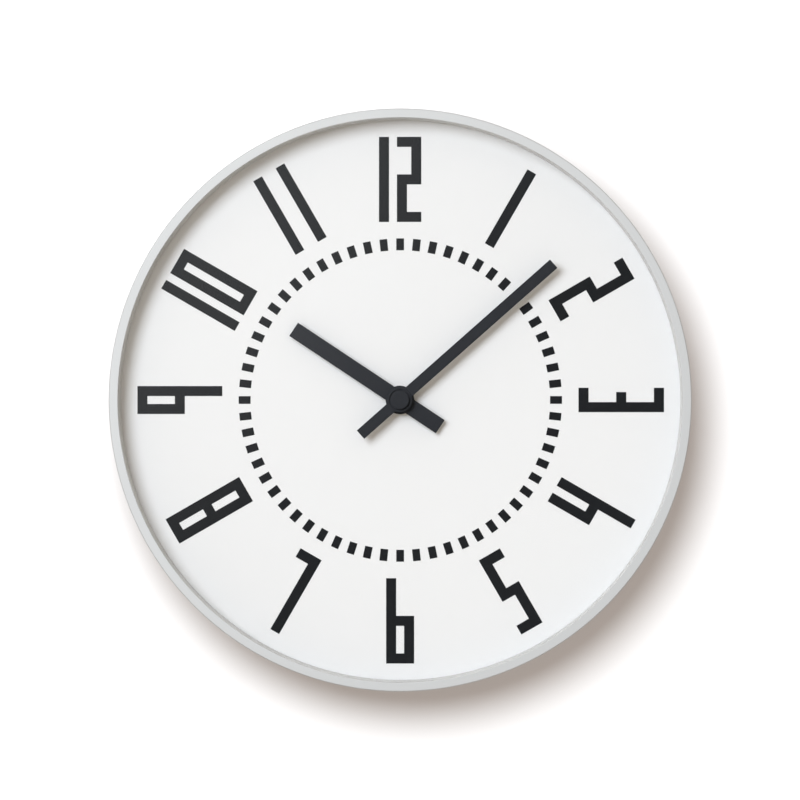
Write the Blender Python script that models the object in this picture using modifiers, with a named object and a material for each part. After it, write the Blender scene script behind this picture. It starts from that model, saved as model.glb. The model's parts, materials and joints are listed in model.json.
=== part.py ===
"""Station wall clock: a spun aluminium case with a glass front, a printed dial, two bar hands
and a battery movement. It hangs from a nail by a keyhole plate on its back cover."""

import math

import bmesh
import bpy

# All sizes are in metres. Every piece is modelled in the clock's own axes: X to the right and
# Y up as one reads the dial, and Z out from the wall, so that a height is measured from the wall.
# The world origin is the nail, with the clock's axis hanging straight below it.

# Gaps and overruns
CLEAR = 0.0003
RUNNING = 0.0001
OVERRUN = 0.001
FUSE = 0.0004
WELD = 0.00001

# Case
CASE_RADIUS = 0.145
CASE_DEPTH = 0.050
CASE_WALL = 0.002
CASE_EDGE_ROUND = 0.0012
LIP_WIDTH = 0.00454
LIP_THICKNESS = 0.002
LIP_CHAMFER = 0.0003
RING_STEPS = 64
CORNER_STEPS = 3

# Glass and the white reveal ring that spaces it from the dial
GLASS_THICKNESS = 0.0025
DIAL_RECESS = 0.016
REVEAL_WALL = 0.0019

# Dial, as shares of the radius inside the lip, and its figures, as shares of their height
DIAL_THICKNESS = 0.0008
PRINT_HEIGHT = 0.00015
MARK_COUNT = 60
MARK_OUTER_SHARE = 0.58
MARK_LENGTH_SHARE = 0.0427
MARK_WIDTH_SHARE = 0.0277
NUMERAL_HEIGHT_SHARE = 0.3033
NUMERAL_RADIUS_SHARE = 0.7919
STROKE_SHARE = 0.1162
COUNTER_SHARE = 0.0962
NARROW_COUNTER_SHARE = 0.0501
HOURS = 12
UPSIDE_DOWN_HOURS = (4, 5, 6, 7, 8)

# Hands, as shares of the radius inside the lip, and the time that they show
MINUTE_REACH_SHARE = 0.7319
MINUTE_TAIL_SHARE = 0.1872
MINUTE_WIDTH_SHARE = 0.0399
HOUR_REACH_SHARE = 0.4571
HOUR_TAIL_SHARE = 0.1730
HOUR_WIDTH_SHARE = 0.0570
HAND_THICKNESS = 0.0008
HOUR_HUB_RADIUS = 0.0072
HOUR_HUB_THICKNESS = 0.0012
MINUTE_HUB_RADIUS = 0.0062
MINUTE_HUB_THICKNESS = 0.0017
MINUTE_COLLAR_RADIUS = 0.0032
HAND_SPACING = 0.0024
CAP_RADIUS = 0.0047
CAP_THICKNESS = 0.0015
CAP_CROWN = 0.0003
MINUTE_ANGLE = math.radians(48.5)
HOUR_ANGLE = math.radians(303.6)

# Fixing of the movement through the dial
BUSH_RADIUS = 0.0040
BUSH_FLANGE_RADIUS = 0.0052
BUSH_FLANGE_THICKNESS = 0.0006
RUBBER_THICKNESS = 0.0010
RUBBER_RADIUS = 0.0120
WASHER_RADIUS = 0.0066
WASHER_THICKNESS = 0.0004
NUT_ACROSS_FLATS = 0.0110
NUT_THICKNESS = 0.0018
NUT_SIDES = 6

# Shafts, one inside the other
PIPE_RADIUS = 0.0025
SHAFT_RADIUS = 0.0015
CENTRE_ARBOR_RADIUS = 0.0007
ARBOR_RADIUS = 0.0004

# Inner frame that carries the dial and takes the cover's screws
FRAME_WALL = 0.0022
SEAT_WIDTH = 0.008
SEAT_THICKNESS = 0.0018
BOSS_RADIUS = 0.0045
BOSS_LENGTH = 0.016
BOSS_SINK = 0.001
PILOT_DEPTH = 0.013
SCREW_COUNT = 4

# Back cover
COVER_SETBACK = 0.0035
COVER_THICKNESS = 0.002
DISH_RIM_SHARE = 0.607
DISH_SLOPE_RUN = 0.008
DISH_CORNER_STEP = 0.0015
HATCH_GAP = 0.001

# Cover screws
SCREW_RADIUS = 0.0014
SCREW_LENGTH = 0.012
SCREW_HEAD_RADIUS = 0.0030
SCREW_HEAD_HEIGHT = 0.0020
SCREW_CROWN = 0.0007

# Keyhole plate, and how far above the clock's axis it takes the nail
HANG_DROP_SHARE = 0.8
PLATE_WIDTH = 0.034
PLATE_HEIGHT = 0.028
PLATE_THICKNESS = 0.0012
PLATE_CORNER = 0.003
KEYHOLE_HEAD_RADIUS = 0.0046
KEYHOLE_SLOT_RADIUS = 0.0024
KEYHOLE_LENGTH = 0.009
KEYHOLE_ARC_STEPS = 10
PLATE_ABOVE_NAIL = 0.009
POCKET_MARGIN = 0.0015
RIVET_SPACING = 0.025
RIVET_RADIUS = 0.0013
RIVET_HEAD_RADIUS = 0.0023
RIVET_HEAD_HEIGHT = 0.0009

# Movement housing
HOUSING_WIDTH = 0.056
HOUSING_DEPTH = 0.016
HOUSING_WALL = 0.001
HOUSING_CORNER = 0.002
HOUSING_SPLIT = 0.008

# Battery and its bay
CELL_RADIUS = 0.0071
CELL_LENGTH = 0.0494
NUB_RADIUS = 0.0027
NUB_LENGTH = 0.0011
CELL_EDGE = 0.0006
BAY_HALF_LENGTH = 0.0266
BAY_RELIEF = 0.0003
DIVIDER_HALF_LENGTH = 0.0259
CONTACT_THICKNESS = 0.0004
CONTACT_WIDTH = 0.006
CONTACT_END = 0.002
CONTACT_BOW = 0.0016
CONTACT_BOW_HALF = 0.0055
CONTACT_LEG = 0.0015

# Wheel train: every wheel sits one level behind the one in front of it
WHEEL_THICKNESS = 0.0008
LEVEL_STEP = 0.0013
LEAF_PROUD = 0.0002
HAND_MODULE = 0.0004
SLOW_MODULE = 0.00036
FAST_MODULE = 0.0003
TOOTH_ADDENDUM_SHARE = 0.8
TOOTH_DEDENDUM_SHARE = 1.1
TOOTH_ROOT_SHARE = 0.24
TOOTH_TIP_SHARE = 0.10
CANNON_LEAVES = 10
MOTION_TEETH = 30
MOTION_LEAVES = 8
HOUR_TEETH = 32
KNOB_TEETH = 15
CENTRE_TEETH = 48
THIRD_TEETH = 45
SECONDS_TEETH = 30
FIFTH_TEETH = 36
TRAIN_LEAVES = 6
MOTION_DIRECTION = math.radians(150)
KNOB_DIRECTION = math.radians(170)
THIRD_DIRECTION = math.radians(20)
SECONDS_DIRECTION = math.radians(95)
FIFTH_DIRECTION = math.radians(175)
ROTOR_DIRECTION = math.radians(190)
BEARING_RADIUS = 0.0013
BEARING_HEIGHT = 0.0012
BEARING_FLOOR = 0.0004
MOTION_POST_RADIUS = 0.0006
ROUND_STEPS = 20
SMALL_STEPS = 12
PIVOT_STEPS = 8

# Train plate and its pillars
TRAIN_PLATE_LEFT = -0.0182
TRAIN_PLATE_RIGHT = 0.016
TRAIN_PLATE_LOW = -0.006
TRAIN_PLATE_HIGH = 0.020
PILLAR_RADIUS = 0.0012
PILLAR_INSET = 0.002

# Setting knob
KNOB_SHAFT_RADIUS = 0.0012
KNOB_RADIUS = 0.0055
KNOB_THICKNESS = 0.0022
KNOB_GROOVES = 14
KNOB_GROOVE_DEPTH = 0.0004

# Rotor, coil and stator
MAGNET_RADIUS = 0.0022
MAGNET_HEIGHT = 0.0024
STATOR_GAP = 0.0005
STATOR_THICKNESS = 0.0008
STATOR_LEFT = -0.0150
STATOR_RIGHT = 0.0064
STATOR_LOW = 0.0085
STATOR_YOKE_HIGH = 0.0160
STATOR_HIGH = 0.0245
STATOR_LEG = 0.0034
STATOR_ARBOR_HOLE = 0.0008
CORE_WIDTH = 0.002
CORE_THICKNESS = 0.0008
CORE_OVERHANG = 0.0004
COIL_AXIS_HEIGHT = 0.0225
BOBBIN_BARREL_RADIUS = 0.0017
BOBBIN_FLANGE_RADIUS = 0.0028
BOBBIN_FLANGE_THICKNESS = 0.0006
WINDING_RADIUS = 0.0025

# Circuit board
BOARD_LEFT = 0.0107
BOARD_LOW = 0.0075
BOARD_EDGE_GAP = 0.0008
BOARD_THICKNESS = 0.0008
CHIP_RADIUS = 0.0030
CHIP_HEIGHT = 0.0012
CHIP_INSET = 0.0062
CRYSTAL_RADIUS = 0.0010
CRYSTAL_LENGTH = 0.006
CRYSTAL_INSET = 0.0040

# Places worked out from the sizes above
CASE_BORE = CASE_RADIUS - CASE_WALL
LINER_RADIUS = CASE_BORE - CLEAR
LIP_RADIUS = CASE_RADIUS - LIP_WIDTH
REVEAL_RADIUS = LINER_RADIUS - REVEAL_WALL
HANG_DROP = HANG_DROP_SHARE * CASE_RADIUS
DISH_RIM_RADIUS = DISH_RIM_SHARE * CASE_RADIUS
DISH_FLOOR_RADIUS = DISH_RIM_RADIUS - DISH_SLOPE_RUN
MARK_OUTER_RADIUS = MARK_OUTER_SHARE * LIP_RADIUS
MARK_LENGTH = MARK_LENGTH_SHARE * LIP_RADIUS
MARK_WIDTH = MARK_WIDTH_SHARE * LIP_RADIUS
NUMERAL_RADIUS = NUMERAL_RADIUS_SHARE * LIP_RADIUS
NUMERAL_HEIGHT = NUMERAL_HEIGHT_SHARE * LIP_RADIUS
NUMERAL_STROKE = STROKE_SHARE * NUMERAL_HEIGHT
NUMERAL_COUNTER = COUNTER_SHARE * NUMERAL_HEIGHT
NUMERAL_NARROW_COUNTER = NARROW_COUNTER_SHARE * NUMERAL_HEIGHT
MINUTE_REACH = MINUTE_REACH_SHARE * LIP_RADIUS
MINUTE_TAIL = MINUTE_TAIL_SHARE * LIP_RADIUS
MINUTE_WIDTH = MINUTE_WIDTH_SHARE * LIP_RADIUS
HOUR_REACH = HOUR_REACH_SHARE * LIP_RADIUS
HOUR_TAIL = HOUR_TAIL_SHARE * LIP_RADIUS
HOUR_WIDTH = HOUR_WIDTH_SHARE * LIP_RADIUS
GLASS_FRONT = CASE_DEPTH - LIP_THICKNESS - CLEAR
GLASS_BACK = GLASS_FRONT - GLASS_THICKNESS
DIAL_FACE = CASE_DEPTH - DIAL_RECESS
DIAL_BACK = DIAL_FACE - DIAL_THICKNESS
RUBBER_FRONT = DIAL_BACK - CLEAR
HOUSING_FRONT = RUBBER_FRONT - RUBBER_THICKNESS - CLEAR
HOUSING_BACK = HOUSING_FRONT - HOUSING_DEPTH
HOUSING_HALF = HOUSING_WIDTH / 2
HOUSING_INNER = HOUSING_HALF - HOUSING_WALL
CAVITY_FRONT = HOUSING_FRONT - HOUSING_WALL
CAVITY_BACK = HOUSING_BACK + HOUSING_WALL
SPLIT_HEIGHT = HOUSING_BACK + HOUSING_SPLIT
COVER_FRONT = COVER_SETBACK + COVER_THICKNESS
FRAME_BACK = COVER_FRONT + CLEAR
FRAME_FRONT = DIAL_BACK - CLEAR
FRAME_BORE = LINER_RADIUS - FRAME_WALL
SCREW_CIRCLE = FRAME_BORE - BOSS_RADIUS + BOSS_SINK
SCREW_HOLE_RADIUS = SCREW_RADIUS + CLEAR
WASHER_BACK = DIAL_FACE + CLEAR
NUT_BACK = WASHER_BACK + WASHER_THICKNESS + CLEAR
BUSH_TOP = NUT_BACK + NUT_THICKNESS + CLEAR
HOUR_HAND_BACK = BUSH_TOP + CLEAR
HOUR_HUB_TOP = HOUR_HAND_BACK + HOUR_HUB_THICKNESS
PIPE_TOP = HOUR_HUB_TOP + CLEAR
MINUTE_HUB_BACK = HOUR_HUB_TOP + HAND_SPACING
MINUTE_HUB_TOP = MINUTE_HUB_BACK + MINUTE_HUB_THICKNESS
MINUTE_HAND_BACK = MINUTE_HUB_BACK + (MINUTE_HUB_THICKNESS - HAND_THICKNESS) / 2
CAP_BACK = MINUTE_HUB_TOP + CLEAR
CAP_TOP = CAP_BACK + CAP_THICKNESS
SHAFT_TOP = CAP_BACK + CAP_THICKNESS / 2
CELL_AXIS_Y = -(HOUSING_INNER - CLEAR - CELL_RADIUS)
CELL_AXIS_HEIGHT = HOUSING_BACK + CLEAR + CELL_RADIUS
DIVIDER_LOW = CELL_AXIS_Y + CELL_RADIUS + CLEAR
STRIP_OUTER = HOUSING_INNER - CLEAR
STRIP_MIDDLE = STRIP_OUTER - CONTACT_THICKNESS / 2
STRIP_INNER = STRIP_OUTER - CONTACT_THICKNESS
CELL_POSITIVE_END = STRIP_INNER - CLEAR - NUB_LENGTH
BOARD_RIGHT = HOUSING_INNER - BOARD_EDGE_GAP
BOARD_HIGH = HOUSING_INNER - BOARD_EDGE_GAP
BOARD_BACK = CAVITY_BACK + CLEAR
BOARD_FRONT = BOARD_BACK + BOARD_THICKNESS
BEARING_TOP = CAVITY_BACK + BEARING_HEIGHT
PIVOT_END = CAVITY_BACK + BEARING_FLOOR + CLEAR


def level_top(level):
    """Front face of the wheels on a level; level 0 lies just behind the housing's front."""
    return CAVITY_FRONT - CLEAR - level * LEVEL_STEP


def level_bottom(level):
    return level_top(level) - WHEEL_THICKNESS


HOUR_LEVEL, MOTION_LEVEL, PLATE_LEVEL, CENTRE_LEVEL = 0, 1, 2, 3
THIRD_LEVEL, SECONDS_LEVEL, FIFTH_LEVEL, STATOR_LEVEL = 4, 5, 6, 7
PIVOT_TOP = level_top(PLATE_LEVEL) - CLEAR
CORE_TOP = level_bottom(STATOR_LEVEL) - CLEAR
CORE_MIDDLE = CORE_TOP - CORE_THICKNESS / 2


def meshing_distance(teeth, leaves, module):
    return (teeth + leaves) * module / 2


def offset(start, distance, direction):
    return start[0] + distance * math.cos(direction), start[1] + distance * math.sin(direction)


ON_AXIS = (0, 0)
MOTION_AT = offset(
    ON_AXIS, meshing_distance(MOTION_TEETH, CANNON_LEAVES, HAND_MODULE), MOTION_DIRECTION
)
KNOB_AT = offset(
    MOTION_AT, meshing_distance(KNOB_TEETH, MOTION_TEETH, HAND_MODULE), KNOB_DIRECTION
)
THIRD_AT = offset(
    ON_AXIS, meshing_distance(CENTRE_TEETH, TRAIN_LEAVES, SLOW_MODULE), THIRD_DIRECTION
)
SECONDS_AT = offset(
    THIRD_AT, meshing_distance(THIRD_TEETH, TRAIN_LEAVES, SLOW_MODULE), SECONDS_DIRECTION
)
FIFTH_AT = offset(
    SECONDS_AT, meshing_distance(SECONDS_TEETH, TRAIN_LEAVES, SLOW_MODULE), FIFTH_DIRECTION
)
ROTOR_AT = offset(
    FIFTH_AT, meshing_distance(FIFTH_TEETH, TRAIN_LEAVES, FAST_MODULE), ROTOR_DIRECTION
)

# Start from an empty scene
for old in list(bpy.data.objects):
    bpy.data.objects.remove(old, do_unlink=True)

PARTS = bpy.data.collections.new("station_wall_clock")
HELPERS = bpy.data.collections.new("cutters_and_joined_forms")
bpy.context.scene.collection.children.link(PARTS)
bpy.context.scene.collection.children.link(HELPERS)

# The clock's axis: X and Z of the world are the dial's X and Y, and the wall is behind it
clock_axis = bpy.data.objects.new("clock_axis", None)
clock_axis.location = (0, 0, -HANG_DROP)
clock_axis.rotation_euler = (math.pi / 2, 0, 0)
PARTS.objects.link(clock_axis)


def finish(name, colour, roughness, metallic=0.0, transmission=0.0):
    material = bpy.data.materials.new(name)
    material.use_nodes = True
    shader = material.node_tree.nodes["Principled BSDF"]
    shader.inputs["Base Color"].default_value = (*colour, 1.0)
    shader.inputs["Roughness"].default_value = roughness
    shader.inputs["Metallic"].default_value = metallic
    shader.inputs["Transmission Weight"].default_value = transmission
    return material


SATIN_ALUMINIUM = finish("satin_aluminium", (0.72, 0.72, 0.71), 0.38, 1.0)
CLEAR_GLASS = finish("clear_glass", (0.97, 0.98, 0.98), 0.02, 0.0, 0.95)
WHITE_PLASTIC = finish("white_plastic", (0.85, 0.85, 0.83), 0.45)
WHITE_ENAMEL = finish("white_enamel", (0.88, 0.88, 0.87), 0.5)
BLACK_LACQUER = finish("black_lacquer", (0.035, 0.038, 0.042), 0.45)
GREY_PLASTIC = finish("grey_plastic", (0.33, 0.34, 0.35), 0.55)
BLACK_PLASTIC = finish("black_plastic", (0.03, 0.03, 0.032), 0.5)
ZINC_STEEL = finish("zinc_steel", (0.62, 0.62, 0.60), 0.35, 1.0)
BRASS = finish("brass", (0.72, 0.52, 0.25), 0.32, 1.0)
BLACK_RUBBER = finish("black_rubber", (0.025, 0.025, 0.025), 0.8)
WHEEL_PLASTIC = finish("wheel_plastic", (0.78, 0.76, 0.70), 0.5)
BOARD_LAMINATE = finish("board_laminate", (0.05, 0.22, 0.10), 0.5)
COPPER_WIRE = finish("copper_wire", (0.62, 0.25, 0.12), 0.35, 1.0)
MAGNET = finish("magnet", (0.12, 0.12, 0.13), 0.4, 0.6)
CELL_JACKET = finish("cell_jacket", (0.10, 0.13, 0.17), 0.35)


def add(mesh, name, at, height, turn, material, tilt=0.0):
    """Puts a mesh on the clock's axis as a piece, or as a hidden helper where it has no finish."""
    obj = bpy.data.objects.new(name, mesh)
    obj.parent = clock_axis
    obj.location = (at[0], at[1], height)
    obj.rotation_euler = (0, tilt, turn)
    if material:
        mesh.materials.append(material)
        PARTS.objects.link(obj)
    else:
        obj.hide_render = True
        obj.display_type = "WIRE"
        HELPERS.objects.link(obj)
    return obj


def turned(name, profile, material=None, at=ON_AXIS, steps=RING_STEPS, height=0, tilt=0.0):
    """A turned piece. Its profile of radius and height runs down the outer side, front to back."""
    mesh = bpy.data.meshes.new(name)
    corners = [(radius, 0, level) for radius, level in profile]
    edges = [(i, i + 1) for i in range(len(corners) - 1)]
    if profile[0][0] > 0:
        edges.append((len(corners) - 1, 0))
    mesh.from_pydata(corners, edges, [])
    obj = add(mesh, name, at, height, 0, material, tilt)
    screw = obj.modifiers.new("turn", "SCREW")
    screw.axis = "Z"
    screw.steps = steps
    screw.render_steps = steps
    screw.use_merge_vertices = True
    screw.merge_threshold = WELD
    screw.use_smooth_shade = True
    return obj


def pin(name, radius, bottom, top, material=None, at=ON_AXIS, steps=ROUND_STEPS):
    profile = [(0, top), (radius, top), (radius, bottom), (0, bottom)]
    return turned(name, profile, material, at, steps)


def tube(name, radius, bore, bottom, top, material=None, at=ON_AXIS, steps=ROUND_STEPS):
    profile = [(radius, top), (radius, bottom), (bore, bottom), (bore, top)]
    return turned(name, profile, material, at, steps)


def flat(name, outlines, bottom, top, material=None, at=ON_AXIS, turn=0.0):
    """A flat piece: 2D curves filled between each other and extruded from bottom to top."""
    curve = bpy.data.curves.new(name, "CURVE")
    curve.dimensions = "2D"
    curve.fill_mode = "BOTH"
    curve.extrude = (top - bottom) / 2
    for outline in outlines:
        spline = curve.splines.new("POLY")
        spline.points.add(len(outline) - 1)
        for point, (x, y) in zip(spline.points, outline):
            point.co = (x, y, 0, 1)
        spline.use_cyclic_u = True
    guide = bpy.data.objects.new(name, curve)
    bpy.context.scene.collection.objects.link(guide)
    graph = bpy.context.evaluated_depsgraph_get()
    mesh = bpy.data.meshes.new_from_object(guide.evaluated_get(graph))
    bpy.data.objects.remove(guide, do_unlink=True)
    bpy.data.curves.remove(curve)
    shape = bmesh.new()
    shape.from_mesh(mesh)
    bmesh.ops.remove_doubles(shape, verts=shape.verts, dist=WELD)
    bmesh.ops.beautify_fill(shape, faces=shape.faces, edges=shape.edges, method="AREA")
    bmesh.ops.recalc_face_normals(shape, faces=shape.faces)
    shape.to_mesh(mesh)
    shape.free()
    return add(mesh, name, at, (top + bottom) / 2, turn, material)


def box(name, low, high, material=None):
    """A block between two corners, as (x, y, height)."""
    mesh = bpy.data.meshes.new(name)
    shape = bmesh.new()
    bmesh.ops.create_cube(shape, size=1)
    size = [b - a for a, b in zip(low, high)]
    bmesh.ops.scale(shape, vec=size, verts=shape.verts)
    shape.to_mesh(mesh)
    shape.free()
    middle = [(a + b) / 2 for a, b in zip(low, high)]
    return add(mesh, name, middle[:2], middle[2], 0, material)


def joined(obj, operation, others):
    for other in others:
        modifier = obj.modifiers.new(f"{operation.lower()}_{other.name}", "BOOLEAN")
        modifier.operation = operation
        modifier.solver = "EXACT"
        modifier.object = other
    return obj


def cut(obj, *cutters):
    return joined(obj, "DIFFERENCE", cutters)


def fuse(obj, *forms):
    return joined(obj, "UNION", forms)


def arc(centre, radius, start, end, steps):
    """Points of a circular arc, both ends included."""
    angles = [start + (end - start) * i / steps for i in range(steps + 1)]
    return [offset(centre, radius, angle) for angle in angles]


def circle(radius, steps, centre=ON_AXIS):
    return arc(centre, radius, 0, 2 * math.pi * (steps - 1) / steps, steps - 1)


def rectangle(left, low, right, high):
    return [(left, low), (right, low), (right, high), (left, high)]


def rounded_rectangle(left, low, right, high, radius, steps=CORNER_STEPS):
    corners = (
        ((right - radius, high - radius), 0),
        ((left + radius, high - radius), 1),
        ((left + radius, low + radius), 2),
        ((right - radius, low + radius), 3),
    )
    outline = []
    for centre, quarter in corners:
        start = quarter * math.pi / 2
        outline += arc(centre, radius, start, start + math.pi / 2, steps)
    return outline


def gear_outline(teeth, module, phase):
    """Straight-flanked teeth round a pitch circle, the first one centred on the phase angle."""
    pitch_radius = teeth * module / 2
    tip = pitch_radius + TOOTH_ADDENDUM_SHARE * module
    root = pitch_radius - TOOTH_DEDENDUM_SHARE * module
    pitch = 2 * math.pi / teeth
    outline = []
    for tooth in range(teeth):
        middle = phase + tooth * pitch
        outline.append(offset(ON_AXIS, root, middle - TOOTH_ROOT_SHARE * pitch))
        outline.append(offset(ON_AXIS, tip, middle - TOOTH_TIP_SHARE * pitch))
        outline.append(offset(ON_AXIS, tip, middle + TOOTH_TIP_SHARE * pitch))
        outline.append(offset(ON_AXIS, root, middle + TOOTH_ROOT_SHARE * pitch))
    return outline


def meshing_phase(driver_phase, driver_teeth, driven_teeth, direction):
    """Phase at which a driven wheel's gap faces the driver's tooth, along the line of centres."""
    driver_pitch = 2 * math.pi / driver_teeth
    driven_pitch = 2 * math.pi / driven_teeth
    past_tooth = ((direction - driver_phase) / driver_pitch) % 1
    return direction + math.pi - ((1 / 2 - past_tooth) % 1) * driven_pitch


def build_case():
    """Spun ring with a rolled front edge and a narrow lip that hides the edge of the glass."""
    round_centre = (CASE_RADIUS - CASE_EDGE_ROUND, CASE_DEPTH - CASE_EDGE_ROUND)
    profile = [(LIP_RADIUS + LIP_CHAMFER, CASE_DEPTH)]
    profile += arc(round_centre, CASE_EDGE_ROUND, math.pi / 2, 0, CORNER_STEPS)
    profile += [
        (CASE_RADIUS, 0),
        (CASE_BORE, 0),
        (CASE_BORE, CASE_DEPTH - LIP_THICKNESS),
        (LIP_RADIUS, CASE_DEPTH - LIP_THICKNESS),
        (LIP_RADIUS, CASE_DEPTH - LIP_CHAMFER),
    ]
    turned("case_ring", profile, SATIN_ALUMINIUM)


def build_front():
    """Glass under the lip, and the white ring that keeps it off the dial."""
    pin("glass", LINER_RADIUS, GLASS_BACK, GLASS_FRONT, CLEAR_GLASS, steps=RING_STEPS)
    spacer_back = DIAL_FACE + CLEAR
    spacer_front = GLASS_BACK - CLEAR
    tube(
        "spacer_ring", LINER_RADIUS, REVEAL_RADIUS, spacer_back, spacer_front,
        WHITE_PLASTIC, steps=RING_STEPS,
    )


def digit_outlines(digit):
    """Width and outlines of one block figure, standing on the X axis from X = 0."""
    h = NUMERAL_HEIGHT
    s = NUMERAL_STROKE
    low = (h - s) / 2
    high = (h + s) / 2
    notch = NUMERAL_NARROW_COUNTER
    wide = 2 * s + NUMERAL_COUNTER
    narrow = 2 * s + NUMERAL_NARROW_COUNTER
    w = narrow if digit in (2, 3, 5, 7) else wide
    if digit == 1:
        return s, [rectangle(0, 0, s, h)]
    if digit == 2:
        return w, [[
            (0, 0), (w, 0), (w, s), (s, s), (s, low), (w, low),
            (w, h), (0, h), (0, h - s), (w - s, h - s), (w - s, high), (0, high),
        ]]
    if digit == 3:
        return w, [[
            (0, 0), (w, 0), (w, h), (0, h), (0, h - s), (w - s, h - s),
            (w - s, high), (notch, high), (notch, low), (w - s, low), (w - s, s), (0, s),
        ]]
    if digit == 4:
        return w, [[
            (0, low), (w - s, low), (w - s, 0), (w, 0), (w, h),
            (w - s, h), (w - s, high), (s, high), (s, h), (0, h),
        ]]
    if digit == 5:
        return w, [[
            (0, 0), (w, 0), (w, high), (s, high), (s, h - s), (w, h - s),
            (w, h), (0, h), (0, low), (w - s, low), (w - s, s), (0, s),
        ]]
    if digit == 6:
        return w, [
            [(0, 0), (w, 0), (w, high), (s, high), (s, h), (0, h)],
            rectangle(s, s, w - s, low),
        ]
    if digit == 7:
        return w, [[(0, h - s), (w - s, h - s), (w - s, 0), (w, 0), (w, h), (0, h)]]
    if digit == 8:
        return w, [
            rectangle(0, 0, w, h),
            rectangle(s, s, w - s, low),
            rectangle(s, high, w - s, h - s),
        ]
    if digit == 9:
        return w, [
            [(0, low), (w - s, low), (w - s, 0), (w, 0), (w, h), (0, h)],
            rectangle(s, high, w - s, h - s),
        ]
    return w, [rectangle(0, 0, w, h), rectangle(s, s, w - s, h - s)]


def number_outlines(number):
    """Outlines of an hour's figures, centred on the origin."""
    digits = [int(figure) for figure in str(number)]
    spread = 2 if number == 11 else 1
    left = 0
    outlines = []
    for digit in digits:
        width, shapes = digit_outlines(digit)
        outlines += [[(x + left, y) for x, y in shape] for shape in shapes]
        left += width + spread * NUMERAL_COUNTER
    total = left - spread * NUMERAL_COUNTER
    return [[(x - total / 2, y - NUMERAL_HEIGHT / 2) for x, y in shape] for shape in outlines]


def on_dial(outline, radius, clock_angle, upside_down=False):
    """Moves an outline out to a radius and round to an angle, clockwise from twelve."""
    turn = -clock_angle + (math.pi if upside_down else 0)
    cos, sin = math.cos(turn), math.sin(turn)
    middle_x = radius * math.sin(clock_angle)
    middle_y = radius * math.cos(clock_angle)
    return [(middle_x + x * cos - y * sin, middle_y + x * sin + y * cos) for x, y in outline]


def build_dial():
    """Enamelled sheet with the hour figures and the minute track printed thickly on it."""
    outlines = []
    for hour in range(1, HOURS + 1):
        angle = 2 * math.pi * hour / HOURS
        for outline in number_outlines(hour):
            outlines.append(on_dial(outline, NUMERAL_RADIUS, angle, hour in UPSIDE_DOWN_HOURS))
    mark = rectangle(-MARK_WIDTH / 2, -MARK_LENGTH / 2, MARK_WIDTH / 2, MARK_LENGTH / 2)
    for minute in range(MARK_COUNT):
        angle = 2 * math.pi * minute / MARK_COUNT
        outlines.append(on_dial(mark, MARK_OUTER_RADIUS - MARK_LENGTH / 2, angle))
    print_form = flat("dial_print", outlines, DIAL_FACE - FUSE, DIAL_FACE + PRINT_HEIGHT)
    sheet = tube(
        "dial_plate", LINER_RADIUS, BUSH_RADIUS + CLEAR, DIAL_BACK, DIAL_FACE,
        WHITE_ENAMEL, steps=RING_STEPS,
    )
    fuse(sheet, print_form)


def screw_places():
    first = math.pi / SCREW_COUNT
    turns = [first + 2 * math.pi * i / SCREW_COUNT for i in range(SCREW_COUNT)]
    return [offset(ON_AXIS, SCREW_CIRCLE, turn) for turn in turns]


def build_inner_frame():
    """Moulded ring bonded in the case: a seat for the dial, and a boss for each cover screw."""
    seat_bore = LINER_RADIUS - SEAT_WIDTH
    seat_back = FRAME_FRONT - SEAT_THICKNESS
    profile = [
        (LINER_RADIUS, FRAME_FRONT),
        (LINER_RADIUS, FRAME_BACK),
        (FRAME_BORE, FRAME_BACK),
        (FRAME_BORE, seat_back),
        (seat_bore, seat_back),
        (seat_bore, FRAME_FRONT),
    ]
    frame = turned("inner_frame", profile, WHITE_PLASTIC)
    for i, place in enumerate(screw_places(), 1):
        boss_top = FRAME_BACK + BOSS_LENGTH
        fuse(frame, pin(f"boss_{i}", BOSS_RADIUS, FRAME_BACK, boss_top, at=place, steps=SMALL_STEPS))
    for i, place in enumerate(screw_places(), 1):
        pilot_top = FRAME_BACK + PILOT_DEPTH
        pilot = pin(
            f"pilot_{i}", SCREW_HOLE_RADIUS, FRAME_BACK - OVERRUN, pilot_top,
            at=place, steps=PIVOT_STEPS,
        )
        cut(frame, pilot)


def keyhole_outline():
    """Round hole for the nail's head, running up into a slot for its shank; the nail is at 0, 0."""
    neck = math.asin(KEYHOLE_SLOT_RADIUS / KEYHOLE_HEAD_RADIUS)
    head_start = math.pi / 2 + neck
    head_end = 2 * math.pi + math.pi / 2 - neck
    head_centre = (0, -KEYHOLE_LENGTH)
    outline = arc(head_centre, KEYHOLE_HEAD_RADIUS, head_start, head_end, KEYHOLE_ARC_STEPS)
    return outline + arc(ON_AXIS, KEYHOLE_SLOT_RADIUS, 0, math.pi, KEYHOLE_ARC_STEPS // 2)


def rivet_places():
    plate_middle = HANG_DROP + PLATE_ABOVE_NAIL - PLATE_HEIGHT / 2
    return [(side * RIVET_SPACING / 2, plate_middle) for side in (-1, 1)]


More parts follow.
